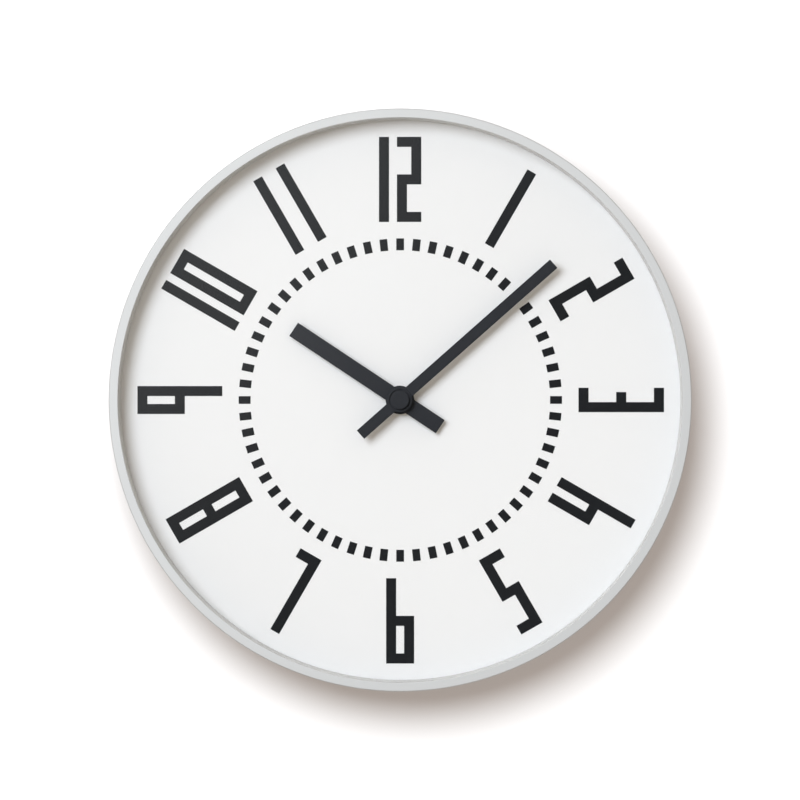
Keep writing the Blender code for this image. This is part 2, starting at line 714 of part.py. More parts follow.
def build_back_cover():
    """Moulded cover, dished so that a hand reaches the battery and the setting knob."""
    floor_front = HOUSING_BACK + COVER_THICKNESS
    slope = COVER_THICKNESS / 2
    step = DISH_CORNER_STEP
    profile = [
        (0, floor_front),
        (DISH_FLOOR_RADIUS + slope, floor_front),
        (DISH_RIM_RADIUS + slope, COVER_FRONT),
        (LINER_RADIUS, COVER_FRONT),
        (LINER_RADIUS, COVER_SETBACK),
        (DISH_RIM_RADIUS + step, COVER_SETBACK),
        (DISH_RIM_RADIUS, COVER_SETBACK + step),
        (DISH_FLOOR_RADIUS, HOUSING_BACK - step),
        (DISH_FLOOR_RADIUS - step, HOUSING_BACK),
        (0, HOUSING_BACK),
    ]
    cover = turned("back_cover", profile, GREY_PLASTIC)
    hatch_half = HOUSING_HALF + HATCH_GAP
    hatch = rounded_rectangle(
        -hatch_half, -hatch_half, hatch_half, hatch_half, HOUSING_CORNER + HATCH_GAP
    )
    cut(cover, flat("hatch", [hatch], HOUSING_BACK - OVERRUN, floor_front + OVERRUN))
    pocket_half = KEYHOLE_HEAD_RADIUS + POCKET_MARGIN
    pocket = rectangle(
        -pocket_half, HANG_DROP - KEYHOLE_LENGTH - pocket_half,
        pocket_half, HANG_DROP + KEYHOLE_SLOT_RADIUS + POCKET_MARGIN,
    )
    back, front = COVER_SETBACK - OVERRUN, COVER_FRONT + OVERRUN
    cut(cover, flat("nail_pocket", [pocket], back, front))
    for i, place in enumerate(screw_places(), 1):
        cut(cover, pin(f"screw_hole_{i}", SCREW_HOLE_RADIUS, back, front, at=place, steps=PIVOT_STEPS))
    for i, place in enumerate(rivet_places(), 1):
        hole_radius = RIVET_RADIUS + CLEAR
        cut(cover, pin(f"rivet_hole_{i}", hole_radius, back, front, at=place, steps=PIVOT_STEPS))


def build_cover_screws():
    head_top = COVER_SETBACK - CLEAR
    head_end = head_top - SCREW_HEAD_HEIGHT
    for i, place in enumerate(screw_places(), 1):
        profile = [
            (0, head_top + SCREW_LENGTH),
            (SCREW_RADIUS / 2, head_top + SCREW_LENGTH),
            (SCREW_RADIUS, head_top + SCREW_LENGTH - SCREW_RADIUS),
            (SCREW_RADIUS, head_top),
            (SCREW_HEAD_RADIUS, head_top),
            (SCREW_HEAD_RADIUS, head_end + SCREW_CROWN),
            (SCREW_HEAD_RADIUS - SCREW_CROWN, head_end),
            (0, head_end),
        ]
        turned(f"back_cover_screw_{i}", profile, ZINC_STEEL, place, SMALL_STEPS)


def build_hanger():
    """Steel keyhole plate riveted over the pocket in the back cover."""
    plate_high = HANG_DROP + PLATE_ABOVE_NAIL
    plate_low = plate_high - PLATE_HEIGHT
    outline = rounded_rectangle(
        -PLATE_WIDTH / 2, plate_low, PLATE_WIDTH / 2, plate_high, PLATE_CORNER
    )
    keyhole = [(x, y + HANG_DROP) for x, y in keyhole_outline()]
    holes = [circle(RIVET_RADIUS + CLEAR, PIVOT_STEPS, place) for place in rivet_places()]
    plate_front = COVER_SETBACK - CLEAR
    plate_back = plate_front - PLATE_THICKNESS
    flat("hanger_plate", [outline, keyhole, *holes], plate_back, plate_front, ZINC_STEEL)
    head_top = plate_back - CLEAR
    tail_bottom = COVER_FRONT + CLEAR
    tail_top = tail_bottom + RIVET_HEAD_HEIGHT
    for side, place in zip(("left", "right"), rivet_places()):
        profile = [
            (0, tail_top),
            (RIVET_HEAD_RADIUS, tail_top),
            (RIVET_HEAD_RADIUS, tail_bottom),
            (RIVET_RADIUS, tail_bottom),
            (RIVET_RADIUS, head_top),
            (RIVET_HEAD_RADIUS, head_top),
            (RIVET_HEAD_RADIUS / 2, head_top - RIVET_HEAD_HEIGHT),
            (0, head_top - RIVET_HEAD_HEIGHT),
        ]
        turned(f"hanger_rivet_{side}", profile, ZINC_STEEL, place, SMALL_STEPS)


def build_movement_fixing():
    """What clamps the movement to the dial: bush, rubber washer, brass washer and nut."""
    flange_back = HOUSING_FRONT + CLEAR
    flange_front = flange_back + BUSH_FLANGE_THICKNESS
    bore = PIPE_RADIUS + RUNNING
    profile = [
        (BUSH_RADIUS, BUSH_TOP),
        (BUSH_RADIUS, flange_front),
        (BUSH_FLANGE_RADIUS, flange_front),
        (BUSH_FLANGE_RADIUS, flange_back),
        (BUSH_RADIUS, flange_back),
        (BUSH_RADIUS, CAVITY_FRONT),
        (bore, CAVITY_FRONT),
        (bore, BUSH_TOP),
    ]
    turned("threaded_bush", profile, BRASS, steps=ROUND_STEPS)
    tube(
        "rubber_washer", RUBBER_RADIUS, BUSH_FLANGE_RADIUS + CLEAR,
        RUBBER_FRONT - RUBBER_THICKNESS, RUBBER_FRONT, BLACK_RUBBER,
    )
    hole = BUSH_RADIUS + CLEAR
    washer_front = WASHER_BACK + WASHER_THICKNESS
    tube("dial_washer", WASHER_RADIUS, hole, WASHER_BACK, washer_front, BRASS)
    corner_radius = NUT_ACROSS_FLATS / 2 / math.cos(math.pi / NUT_SIDES)
    outlines = [circle(corner_radius, NUT_SIDES), circle(hole, ROUND_STEPS)]
    flat("dial_nut", outlines, NUT_BACK, NUT_BACK + NUT_THICKNESS, BRASS)


def hand_bar(name, reach, tail, width, bottom, clock_angle, material):
    outline = rectangle(-width / 2, -tail, width / 2, reach)
    return flat(name, [outline], bottom, bottom + HAND_THICKNESS, material, turn=-clock_angle)


def build_hands():
    """Square-ended bars on round hubs, the minute hand in front, and the nut that holds it."""
    hour = hand_bar(
        "hour_hand", HOUR_REACH, HOUR_TAIL, HOUR_WIDTH, HOUR_HAND_BACK, HOUR_ANGLE, BLACK_LACQUER
    )
    bore = PIPE_RADIUS + RUNNING
    fuse(hour, pin("hour_hub", HOUR_HUB_RADIUS, HOUR_HAND_BACK, HOUR_HUB_TOP))
    cut(hour, pin("hour_bore", bore, HOUR_HAND_BACK - OVERRUN, HOUR_HUB_TOP + OVERRUN))
    minute = hand_bar(
        "minute_hand", MINUTE_REACH, MINUTE_TAIL, MINUTE_WIDTH, MINUTE_HAND_BACK, MINUTE_ANGLE,
        BLACK_LACQUER,
    )
    collar_back = PIPE_TOP + CLEAR
    hub_profile = [
        (0, MINUTE_HUB_TOP),
        (MINUTE_HUB_RADIUS, MINUTE_HUB_TOP),
        (MINUTE_HUB_RADIUS, MINUTE_HUB_BACK),
        (MINUTE_COLLAR_RADIUS, MINUTE_HUB_BACK),
        (MINUTE_COLLAR_RADIUS, collar_back),
        (0, collar_back),
    ]
    fuse(minute, turned("minute_hub", hub_profile, steps=ROUND_STEPS))
    bore = SHAFT_RADIUS + RUNNING
    cut(minute, pin("minute_bore", bore, collar_back - OVERRUN, MINUTE_HUB_TOP + OVERRUN))
    shaft_end = SHAFT_TOP + CLEAR
    cap_profile = [
        (0, CAP_TOP),
        (CAP_RADIUS - CAP_CROWN, CAP_TOP),
        (CAP_RADIUS, CAP_TOP - CAP_CROWN),
        (CAP_RADIUS, CAP_BACK),
        (bore, CAP_BACK),
        (bore, shaft_end),
        (0, shaft_end),
    ]
    turned("hand_cap", cap_profile, BLACK_LACQUER, steps=ROUND_STEPS)


def train_places():
    """Each running arbor of the train: its name, its place and its radius."""
    return (
        ("centre", ON_AXIS, CENTRE_ARBOR_RADIUS),
        ("third", THIRD_AT, ARBOR_RADIUS),
        ("seconds", SECONDS_AT, ARBOR_RADIUS),
        ("fifth", FIFTH_AT, ARBOR_RADIUS),
        ("rotor", ROTOR_AT, ARBOR_RADIUS),
    )


def build_front_housing():
    """Front half of the movement's housing, with the post of the motion wheel and the pillars."""
    half, inner = HOUSING_HALF, HOUSING_INNER
    outline = rounded_rectangle(-half, -half, half, half, HOUSING_CORNER)
    housing = flat(
        "movement_front_case", [outline], SPLIT_HEIGHT + CLEAR, HOUSING_FRONT, BLACK_PLASTIC
    )
    cavity = rectangle(-inner, -inner, inner, inner)
    cut(housing, flat("front_cavity", [cavity], SPLIT_HEIGHT - OVERRUN, CAVITY_FRONT))
    post_end = level_bottom(MOTION_LEVEL) - CLEAR / 2
    root = CAVITY_FRONT + FUSE
    post = pin(
        "motion_post", MOTION_POST_RADIUS, post_end, root, at=MOTION_AT, steps=PIVOT_STEPS
    )
    fuse(housing, post)
    pillar_end = level_top(PLATE_LEVEL) + CLEAR
    for i, (x, y) in enumerate(pillar_places(), 1):
        pillar = pin(f"pillar_{i}", PILLAR_RADIUS, pillar_end, root, at=(x, y), steps=PIVOT_STEPS)
        fuse(housing, pillar)
    hole = BUSH_RADIUS + CLEAR
    cut(housing, pin("bush_hole", hole, CAVITY_FRONT - OVERRUN, HOUSING_FRONT + OVERRUN))


def pillar_places():
    left, right = TRAIN_PLATE_LEFT + PILLAR_INSET, TRAIN_PLATE_RIGHT - PILLAR_INSET
    low, high = TRAIN_PLATE_LOW + PILLAR_INSET, TRAIN_PLATE_HIGH - PILLAR_INSET
    return [(left, low), (right, low), (right, high), (left, high)]


def build_rear_housing():
    """Rear half: battery bay, bearings of the train, posts of the coil and the knob's hole."""
    half, inner = HOUSING_HALF, HOUSING_INNER
    outline = rounded_rectangle(-half, -half, half, half, HOUSING_CORNER)
    housing = flat("movement_rear_cover", [outline], HOUSING_BACK, SPLIT_HEIGHT, BLACK_PLASTIC)
    cavity = rectangle(-inner, -inner, inner, inner)
    cut(housing, flat("rear_cavity", [cavity], CAVITY_BACK, SPLIT_HEIGHT + OVERRUN))
    bay_low = -inner - BAY_RELIEF
    bay = rectangle(-BAY_HALF_LENGTH, bay_low, BAY_HALF_LENGTH, DIVIDER_LOW)
    bay_front = CAVITY_BACK + BAY_RELIEF
    cut(housing, flat("bay_window", [bay], HOUSING_BACK - OVERRUN, bay_front))
    root = CAVITY_BACK - FUSE
    divider_low = (-DIVIDER_HALF_LENGTH, DIVIDER_LOW, root)
    divider_high = (DIVIDER_HALF_LENGTH, DIVIDER_LOW + HOUSING_WALL, CAVITY_FRONT - CLEAR)
    fuse(housing, box("bay_divider", divider_low, divider_high))
    for name, place, _ in train_places():
        bearing = pin(
            f"{name}_bearing", BEARING_RADIUS, root, BEARING_TOP, at=place, steps=PIVOT_STEPS
        )
        fuse(housing, bearing)
    for i, x in enumerate(core_ends(), 1):
        place = (x, COIL_AXIS_HEIGHT)
        post_top = CORE_TOP - CORE_THICKNESS - CLEAR
        fuse(housing, pin(f"core_post_{i}", CORE_WIDTH / 2, root, post_top, at=place, steps=PIVOT_STEPS))
    for name, place, radius in train_places():
        pivot_hole = pin(
            f"{name}_pivot_hole", radius + RUNNING, PIVOT_END - CLEAR, BEARING_TOP + OVERRUN,
            at=place, steps=SMALL_STEPS,
        )
        cut(housing, pivot_hole)
    knob_hole = pin(
        "knob_hole", KNOB_SHAFT_RADIUS + RUNNING, HOUSING_BACK - OVERRUN, CAVITY_BACK + OVERRUN,
        at=KNOB_AT, steps=ROUND_STEPS,
    )
    cut(housing, knob_hole)


def build_train_plate():
    """Plate that holds the front pivots of the train, under the wheels that drive the hands."""
    outline = rectangle(TRAIN_PLATE_LEFT, TRAIN_PLATE_LOW, TRAIN_PLATE_RIGHT, TRAIN_PLATE_HIGH)
    holes = [circle(SHAFT_RADIUS + RUNNING, ROUND_STEPS)]
    holes.append(circle(KNOB_SHAFT_RADIUS + RUNNING, ROUND_STEPS, KNOB_AT))
    for name, place, radius in train_places():
        if name != "centre":
            holes.append(circle(radius + RUNNING, SMALL_STEPS, place))
    bottom, top = level_bottom(PLATE_LEVEL), level_top(PLATE_LEVEL)
    flat("train_plate", [outline, *holes], bottom, top, WHEEL_PLASTIC)


def wheel(name, teeth, module, phase, level, place, bore=None, material=WHEEL_PLASTIC):
    """A toothed wheel on its level, with a round hole where it turns on a post or a pipe."""
    outlines = [gear_outline(teeth, module, phase)]
    if bore:
        outlines.append(circle(bore, SMALL_STEPS))
    return flat(name, outlines, level_bottom(level), level_top(level), material, place)


def pinion(name, leaves, module, phase, level, place):
    """Leaves that reach a little past the wheel which they drive, and back to their own wheel."""
    bottom = level_bottom(level) - (LEVEL_STEP - WHEEL_THICKNESS) - FUSE
    top = level_top(level) + LEAF_PROUD
    return flat(name, [gear_outline(leaves, module, phase)], bottom, top, at=place)


def build_motion_work():
    """Cannon pinion, motion wheel, hour wheel and setting knob: 12 to 1 between the hands."""
    cannon_phase = 0
    cannon_bottom = level_bottom(MOTION_LEVEL) - LEAF_PROUD
    cannon_top = level_top(MOTION_LEVEL) + LEAF_PROUD
    cannon = flat(
        "cannon_pinion", [gear_outline(CANNON_LEAVES, HAND_MODULE, cannon_phase)],
        cannon_bottom, cannon_top, BRASS,
    )
    shaft_end = level_top(CENTRE_LEVEL) + CLEAR
    fuse(cannon, pin("minute_shaft", SHAFT_RADIUS, shaft_end, SHAFT_TOP))
    bore_top = DIAL_FACE + RUNNING
    bore_radius = CENTRE_ARBOR_RADIUS + RUNNING
    cut(cannon, pin("cannon_bore", bore_radius, shaft_end - OVERRUN, bore_top, steps=SMALL_STEPS))

    motion_phase = meshing_phase(cannon_phase, CANNON_LEAVES, MOTION_TEETH, MOTION_DIRECTION)
    motion = wheel("motion_wheel", MOTION_TEETH, HAND_MODULE, motion_phase, MOTION_LEVEL, MOTION_AT)
    leaf_phase = 0
    leaf_root = level_top(MOTION_LEVEL) - FUSE
    leaves = flat(
        "motion_leaves", [gear_outline(MOTION_LEAVES, HAND_MODULE, leaf_phase)],
        leaf_root, level_top(HOUR_LEVEL), at=MOTION_AT,
    )
    fuse(motion, leaves)
    post_bore = MOTION_POST_RADIUS + RUNNING
    motion_back = level_bottom(MOTION_LEVEL) - OVERRUN
    motion_front = level_top(HOUR_LEVEL) + OVERRUN
    cut(motion, pin("motion_bore", post_bore, motion_back, motion_front, at=MOTION_AT, steps=SMALL_STEPS))

    hour_direction = MOTION_DIRECTION + math.pi
    hour_phase = meshing_phase(leaf_phase, MOTION_LEAVES, HOUR_TEETH, hour_direction)
    hour = wheel("hour_wheel", HOUR_TEETH, HAND_MODULE, hour_phase, HOUR_LEVEL, ON_AXIS)
    fuse(hour, pin("hour_pipe", PIPE_RADIUS, level_bottom(HOUR_LEVEL) + FUSE / 2, PIPE_TOP))
    pipe_bore = SHAFT_RADIUS + RUNNING
    hour_back = level_bottom(HOUR_LEVEL) - OVERRUN
    cut(hour, pin("pipe_bore", pipe_bore, hour_back, PIPE_TOP + OVERRUN))

    knob_phase = meshing_phase(motion_phase, MOTION_TEETH, KNOB_TEETH, KNOB_DIRECTION)
    knob = wheel(
        "setting_knob", KNOB_TEETH, HAND_MODULE, knob_phase, MOTION_LEVEL, KNOB_AT,
        material=BLACK_PLASTIC,
    )
    knob_front = HOUSING_BACK - CLEAR
    knob_back = knob_front - KNOB_THICKNESS
    shaft_bottom = knob_front - FUSE
    shaft_top = level_top(HOUR_LEVEL)
    shaft = pin("knob_shaft", KNOB_SHAFT_RADIUS, shaft_bottom, shaft_top, at=KNOB_AT)
    grip = []
    for i in range(KNOB_GROOVES):
        middle = 2 * math.pi * i / KNOB_GROOVES
        quarter = math.pi / KNOB_GROOVES / 2
        grip.append(offset(ON_AXIS, KNOB_RADIUS, middle - quarter))
        grip.append(offset(ON_AXIS, KNOB_RADIUS, middle + quarter))
        grip.append(offset(ON_AXIS, KNOB_RADIUS - KNOB_GROOVE_DEPTH, middle + 2 * quarter))
    fuse(knob, shaft, flat("knob_grip", [grip], knob_back, knob_front, at=KNOB_AT))


def build_train():
    """From the rotor to the centre wheel: four pairs, 1800 turns of the rotor to one hour."""
    centre_phase = 0
    centre = wheel(
        "centre_wheel", CENTRE_TEETH, SLOW_MODULE, centre_phase, CENTRE_LEVEL, ON_AXIS,
        material=BRASS,
    )
    fuse(centre, pin("centre_arbor", CENTRE_ARBOR_RADIUS, PIVOT_END, DIAL_FACE, steps=SMALL_STEPS))

    pairs = (
        ("third", THIRD_TEETH, SLOW_MODULE, THIRD_LEVEL, THIRD_AT, THIRD_DIRECTION, SLOW_MODULE),
        (
            "seconds", SECONDS_TEETH, SLOW_MODULE, SECONDS_LEVEL, SECONDS_AT, SECONDS_DIRECTION,
            SLOW_MODULE,
        ),
        ("fifth", FIFTH_TEETH, FAST_MODULE, FIFTH_LEVEL, FIFTH_AT, FIFTH_DIRECTION, SLOW_MODULE),
    )
    driver_phase, driver_teeth = centre_phase, CENTRE_TEETH
    for name, teeth, module, level, place, direction, leaf_module in pairs:
        leaf_phase = meshing_phase(driver_phase, driver_teeth, TRAIN_LEAVES, direction)
        gear = wheel(f"{name}_wheel", teeth, module, 0, level, place)
        leaves = pinion(f"{name}_leaves", TRAIN_LEAVES, leaf_module, leaf_phase, level - 1, place)
        arbor = pin(f"{name}_arbor", ARBOR_RADIUS, PIVOT_END, PIVOT_TOP, at=place, steps=PIVOT_STEPS)
        fuse(gear, leaves, arbor)
        driver_phase, driver_teeth = 0, teeth

    leaf_phase = meshing_phase(driver_phase, driver_teeth, TRAIN_LEAVES, ROTOR_DIRECTION)
    magnet_top = level_top(STATOR_LEVEL) + LEAF_PROUD
    magnet_bottom = magnet_top - MAGNET_HEIGHT
    rotor = pin("rotor", MAGNET_RADIUS, magnet_bottom, magnet_top, MAGNET, at=ROTOR_AT)
    leaves = flat(
        "rotor_leaves", [gear_outline(TRAIN_LEAVES, FAST_MODULE, leaf_phase)],
        magnet_top - FUSE, level_top(FIFTH_LEVEL) + LEAF_PROUD, at=ROTOR_AT,
    )
    arbor = pin("rotor_arbor", ARBOR_RADIUS, PIVOT_END, PIVOT_TOP, at=ROTOR_AT, steps=PIVOT_STEPS)
    fuse(rotor, leaves, arbor)


def core_ends():
    """Middles of the stator's two legs, where the ends of the coil's core rest."""
    return STATOR_LEFT + STATOR_LEG / 2, STATOR_RIGHT - STATOR_LEG / 2


def build_motor():
    """Stator plate round the rotor, and the coil on the core that joins the stator's legs."""
    outline = [
        (STATOR_LEFT, STATOR_LOW),
        (STATOR_RIGHT, STATOR_LOW),
        (STATOR_RIGHT, STATOR_HIGH),
        (STATOR_RIGHT - STATOR_LEG, STATOR_HIGH),
        (STATOR_RIGHT - STATOR_LEG, STATOR_YOKE_HIGH),
        (STATOR_LEFT + STATOR_LEG, STATOR_YOKE_HIGH),
        (STATOR_LEFT + STATOR_LEG, STATOR_HIGH),
        (STATOR_LEFT, STATOR_HIGH),
    ]
    holes = [
        circle(MAGNET_RADIUS + STATOR_GAP, ROUND_STEPS, ROTOR_AT),
        circle(STATOR_ARBOR_HOLE, SMALL_STEPS, FIFTH_AT),
    ]
    bottom, top = level_bottom(STATOR_LEVEL), level_top(STATOR_LEVEL)
    flat("stator", [outline, *holes], bottom, top, ZINC_STEEL)
    left = STATOR_LEFT + CORE_OVERHANG
    right = STATOR_RIGHT - CORE_OVERHANG
    low = (left, COIL_AXIS_HEIGHT - CORE_WIDTH / 2, CORE_TOP - CORE_THICKNESS)
    high = (right, COIL_AXIS_HEIGHT + CORE_WIDTH / 2, CORE_TOP)
    box("coil_core", low, high, ZINC_STEEL)

    start = STATOR_LEFT + STATOR_LEG + CLEAR
    end = STATOR_RIGHT - STATOR_LEG - CLEAR
    length = end - start
    place = (start, COIL_AXIS_HEIGHT)
    flange, barrel, edge = BOBBIN_FLANGE_RADIUS, BOBBIN_BARREL_RADIUS, BOBBIN_FLANGE_THICKNESS
    profile = [
        (0, length),
        (flange, length),
        (flange, length - edge),
        (barrel, length - edge),
        (barrel, edge),
        (flange, edge),
        (flange, 0),
        (0, 0),
    ]
    along_x = math.pi / 2
    bobbin = turned(
        "coil_bobbin", profile, WHEEL_PLASTIC, place, SMALL_STEPS, CORE_MIDDLE, along_x
    )
    gap = (CLEAR, CLEAR)
    slot_low = (start - OVERRUN, low[1] - gap[0], low[2] - gap[1])
    slot_high = (end + OVERRUN, high[1] + gap[0], high[2] + gap[1])
    cut(bobbin, box("core_slot", slot_low, slot_high))
    winding_end = length - edge - CLEAR
    winding_start = edge + CLEAR
    winding_bore = barrel + RUNNING
    profile = [
        (WINDING_RADIUS, winding_end),
        (WINDING_RADIUS, winding_start),
        (winding_bore, winding_start),
        (winding_bore, winding_end),
    ]
    turned("coil_winding", profile, COPPER_WIRE, place, SMALL_STEPS, CORE_MIDDLE, along_x)


def build_electronics():
    """Circuit board with its chip under a drop of resin, and the timing crystal."""
    low = (BOARD_LEFT, BOARD_LOW, BOARD_BACK)
    high = (BOARD_RIGHT, BOARD_HIGH, BOARD_FRONT)
    box("circuit_board", low, high, BOARD_LAMINATE)
    chip_back = BOARD_FRONT + CLEAR
    chip_top = chip_back + CHIP_HEIGHT
    profile = [
        (0, chip_top),
        (CHIP_RADIUS / 2, chip_top - CHIP_HEIGHT / 6),
        (CHIP_RADIUS, chip_back),
        (0, chip_back),
    ]
    chip_place = (BOARD_LEFT + CHIP_INSET, BOARD_LOW + CHIP_INSET)
    turned("control_chip", profile, BLACK_PLASTIC, chip_place, SMALL_STEPS)
    crystal_height = BOARD_FRONT + CLEAR + CRYSTAL_RADIUS
    profile = [(0, CRYSTAL_LENGTH), (CRYSTAL_RADIUS, CRYSTAL_LENGTH), (CRYSTAL_RADIUS, 0), (0, 0)]
    place = (BOARD_RIGHT - CRYSTAL_INSET - CRYSTAL_LENGTH, BOARD_HIGH - CRYSTAL_INSET)
    turned(
        "quartz_crystal", profile, ZINC_STEEL, place, SMALL_STEPS, crystal_height, math.pi / 2
    )


def build_battery():
    """Single cell, with a plain strip at its button and a bowed leaf spring at its flat end."""
    profile = [
        (0, CELL_LENGTH + NUB_LENGTH),
        (NUB_RADIUS, CELL_LENGTH + NUB_LENGTH),
        (NUB_RADIUS, CELL_LENGTH),
        (CELL_RADIUS - CELL_EDGE, CELL_LENGTH),
        (CELL_RADIUS, CELL_LENGTH - CELL_EDGE),
        (CELL_RADIUS, CELL_EDGE),
        (CELL_RADIUS - CELL_EDGE, 0),
        (0, 0),
    ]
    place = (CELL_POSITIVE_END - CELL_LENGTH, CELL_AXIS_Y)
    turned(
        "battery_cell", profile, CELL_JACKET, place, ROUND_STEPS, CELL_AXIS_HEIGHT, math.pi / 2
    )

    bottom = CELL_AXIS_HEIGHT - CONTACT_WIDTH / 2
    top = CELL_AXIS_HEIGHT + CONTACT_WIDTH / 2
    strip_low = -HOUSING_INNER + CONTACT_END
    strip_end = BOARD_LOW + CONTACT_END
    outline = rectangle(STRIP_INNER, strip_low, STRIP_OUTER, strip_end)
    positive = flat("battery_contact_positive", [outline], bottom, top, ZINC_STEEL)
    leg_bottom = BOARD_FRONT + CLEAR
    leg_low = (STRIP_INNER, strip_end - CONTACT_LEG, leg_bottom)
    leg_high = (STRIP_OUTER, strip_end, bottom + FUSE)
    fuse(positive, box("positive_leg", leg_low, leg_high))

    bow = CELL_POSITIVE_END - CELL_LENGTH - CLEAR
    bow_start, bow_end = CELL_AXIS_Y - CONTACT_BOW_HALF, CELL_AXIS_Y + CONTACT_BOW_HALF
    outer, inner = -STRIP_OUTER, -STRIP_INNER
    along = BOARD_LEFT + CONTACT_END
    thin = CONTACT_THICKNESS
    outline = [
        (outer, strip_low),
        (inner, strip_low),
        (inner, bow_start),
        (bow, CELL_AXIS_Y),
        (inner, bow_end),
        (inner, STRIP_INNER),
        (along, STRIP_INNER),
        (along, STRIP_OUTER),
        (outer, STRIP_OUTER),
        (outer, bow_end),
        (bow - thin, CELL_AXIS_Y),
        (outer, bow_start),
    ]
    negative = flat("battery_contact_negative", [outline], bottom, top, ZINC_STEEL)
    leg_low = (along - CONTACT_LEG, STRIP_INNER, leg_bottom)
    leg_high = (along, STRIP_OUTER, bottom + FUSE)
    fuse(negative, box("negative_leg", leg_low, leg_high))


build_case()
build_front()
build_dial()
build_inner_frame()
build_back_cover()
build_cover_screws()
build_hanger()
build_movement_fixing()
build_hands()
build_front_housing()
build_rear_housing()
build_train_plate()
build_motion_work()
build_train()
build_motor()
build_electronics()
build_battery()
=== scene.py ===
# %% [markdown]
# # Dressing a station wall clock
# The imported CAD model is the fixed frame: it says where every solid is. This lesson puts finer
# pieces and procedural finishes over it, then lights it as a clock that hangs on a white wall.
# Everything is in metres. The wall is the plane Y = 0, and the dial faces -Y.

import json
import math

import bmesh
import bpy
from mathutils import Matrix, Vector
from mathutils.geometry import tessellate_polygon

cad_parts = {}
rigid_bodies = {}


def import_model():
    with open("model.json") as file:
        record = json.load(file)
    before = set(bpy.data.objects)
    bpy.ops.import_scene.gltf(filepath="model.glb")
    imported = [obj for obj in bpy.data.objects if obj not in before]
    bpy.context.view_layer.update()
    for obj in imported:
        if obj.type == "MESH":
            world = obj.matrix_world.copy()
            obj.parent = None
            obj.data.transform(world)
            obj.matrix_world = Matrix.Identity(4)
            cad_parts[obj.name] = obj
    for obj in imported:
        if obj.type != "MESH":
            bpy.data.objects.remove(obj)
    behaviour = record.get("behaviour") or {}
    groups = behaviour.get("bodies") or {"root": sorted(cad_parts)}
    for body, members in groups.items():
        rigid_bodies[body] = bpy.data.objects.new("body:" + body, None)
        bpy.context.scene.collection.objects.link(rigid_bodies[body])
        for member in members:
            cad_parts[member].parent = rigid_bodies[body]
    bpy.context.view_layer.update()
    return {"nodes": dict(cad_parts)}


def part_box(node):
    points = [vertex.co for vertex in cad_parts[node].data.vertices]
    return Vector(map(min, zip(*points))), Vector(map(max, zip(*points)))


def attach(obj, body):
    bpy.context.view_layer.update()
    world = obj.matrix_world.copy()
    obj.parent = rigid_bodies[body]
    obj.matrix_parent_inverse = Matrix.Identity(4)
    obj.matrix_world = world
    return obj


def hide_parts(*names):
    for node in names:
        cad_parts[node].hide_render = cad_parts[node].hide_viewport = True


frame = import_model()
nodes = frame["nodes"]

# %% [markdown]
# ## One way to say where something is
# A clockmaker reads a dial as right and up, and counts depth from the wall. `place` turns such a
# reading into the frame. The axis and the main radii come from the CAD boxes, so that the pieces
# can't drift away from the solids.

# %% Places on the clock
TURN = 2 * math.pi
ring_low, ring_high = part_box("case_ring")
AXIS_Z = (ring_low.z + ring_high.z) / 2
CASE_RADIUS = (ring_high.x - ring_low.x) / 2
CASE_DEPTH = ring_high.y - ring_low.y


def place(x, y, height):
    """A point read off the dial, with its height from the wall, in the frame."""
    return Vector((x, -height, AXIS_Z + y))


def span(node):
    """Lowest and highest height of a CAD node from the wall."""
    low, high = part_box(node)
    return -high.y, -low.y


def reach(node):
    """Largest half-width of a CAD node."""
    low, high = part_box(node)
    return (high.x - low.x) / 2


LINER = reach("spacer_ring")
LIP_WIDTH = 0.00454
LIP = CASE_RADIUS - LIP_WIDTH
measures = (AXIS_Z, CASE_RADIUS, CASE_DEPTH)
print("axis, case radius and depth in mm:", *(round(1000 * n, 1) for n in measures))

# %% [markdown]
# ## Two ways to make a form
# Nearly every piece of a clock is either turned on a lathe or cut from sheet. `spun` takes a
# closed profile round an axis. `sheet` takes flat outlines, rounds their edges off and keeps
# their holes. A form ends as a mesh in the frame that rides on a CAD body.
# Large turned pieces take 256 steps, so that their rims stay round in a close view.

# %% Turned forms
RIM_STEPS, HUB_STEPS = 256, 96


def even_shade(piece):
    """Keeps large faces flat in the light and leaves the bend to the small roundings."""
    step = piece.modifiers.new("even_shade", "WEIGHTED_NORMAL")
    step.keep_sharp = True
    step.weight = 90


def settle(form, name, body, stands_for=(), crease=35):
    """Turns a bmesh into a piece that rides on a body."""
    bmesh.ops.remove_doubles(form, verts=form.verts, dist=0.000001)
    bmesh.ops.recalc_face_normals(form, faces=form.faces)
    mesh = bpy.data.meshes.new(name)
    form.to_mesh(mesh)
    form.free()
    mesh.shade_smooth()
    mesh.set_sharp_from_angle(angle=math.radians(crease))
    piece = bpy.data.objects.new(name, mesh)
    bpy.context.scene.collection.objects.link(piece)
    if body:
        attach(piece, body)
        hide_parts(*stands_for)
        even_shade(piece)
    return piece


def spin(form, profile, steps, middle=(0, 0), across=False):
    """Adds a turned form to a bmesh; across means that its axis lies along X."""
    rings = []
    for radius, height in profile:
        ring = []
        for step in range(steps if radius else 1):
            turn = TURN * step / steps
            side, up = radius * math.sin(turn), radius * math.cos(turn)
            if across:
                ring.append(form.verts.new(place(height, middle[0] + up, middle[1] + side)))
            else:
                ring.append(form.verts.new(place(middle[0] + side, middle[1] + up, height)))
        rings.append(ring if radius else ring * steps)
    for first, second in zip(rings, rings[1:] + rings[:1]):
        for step in range(steps):
            after = (step + 1) % steps
            corners = [first[step], first[after], second[after], second[step]]
            face = [c for i, c in enumerate(corners) if c not in corners[:i]]
            if len(face) > 2:
                form.faces.new(face)


def spun(name, profile, steps, body, slot, stands_for=(), **where):
    form = bmesh.new()
    spin(form, profile, steps, **where)
    return settle(form, name, body, stands_for)


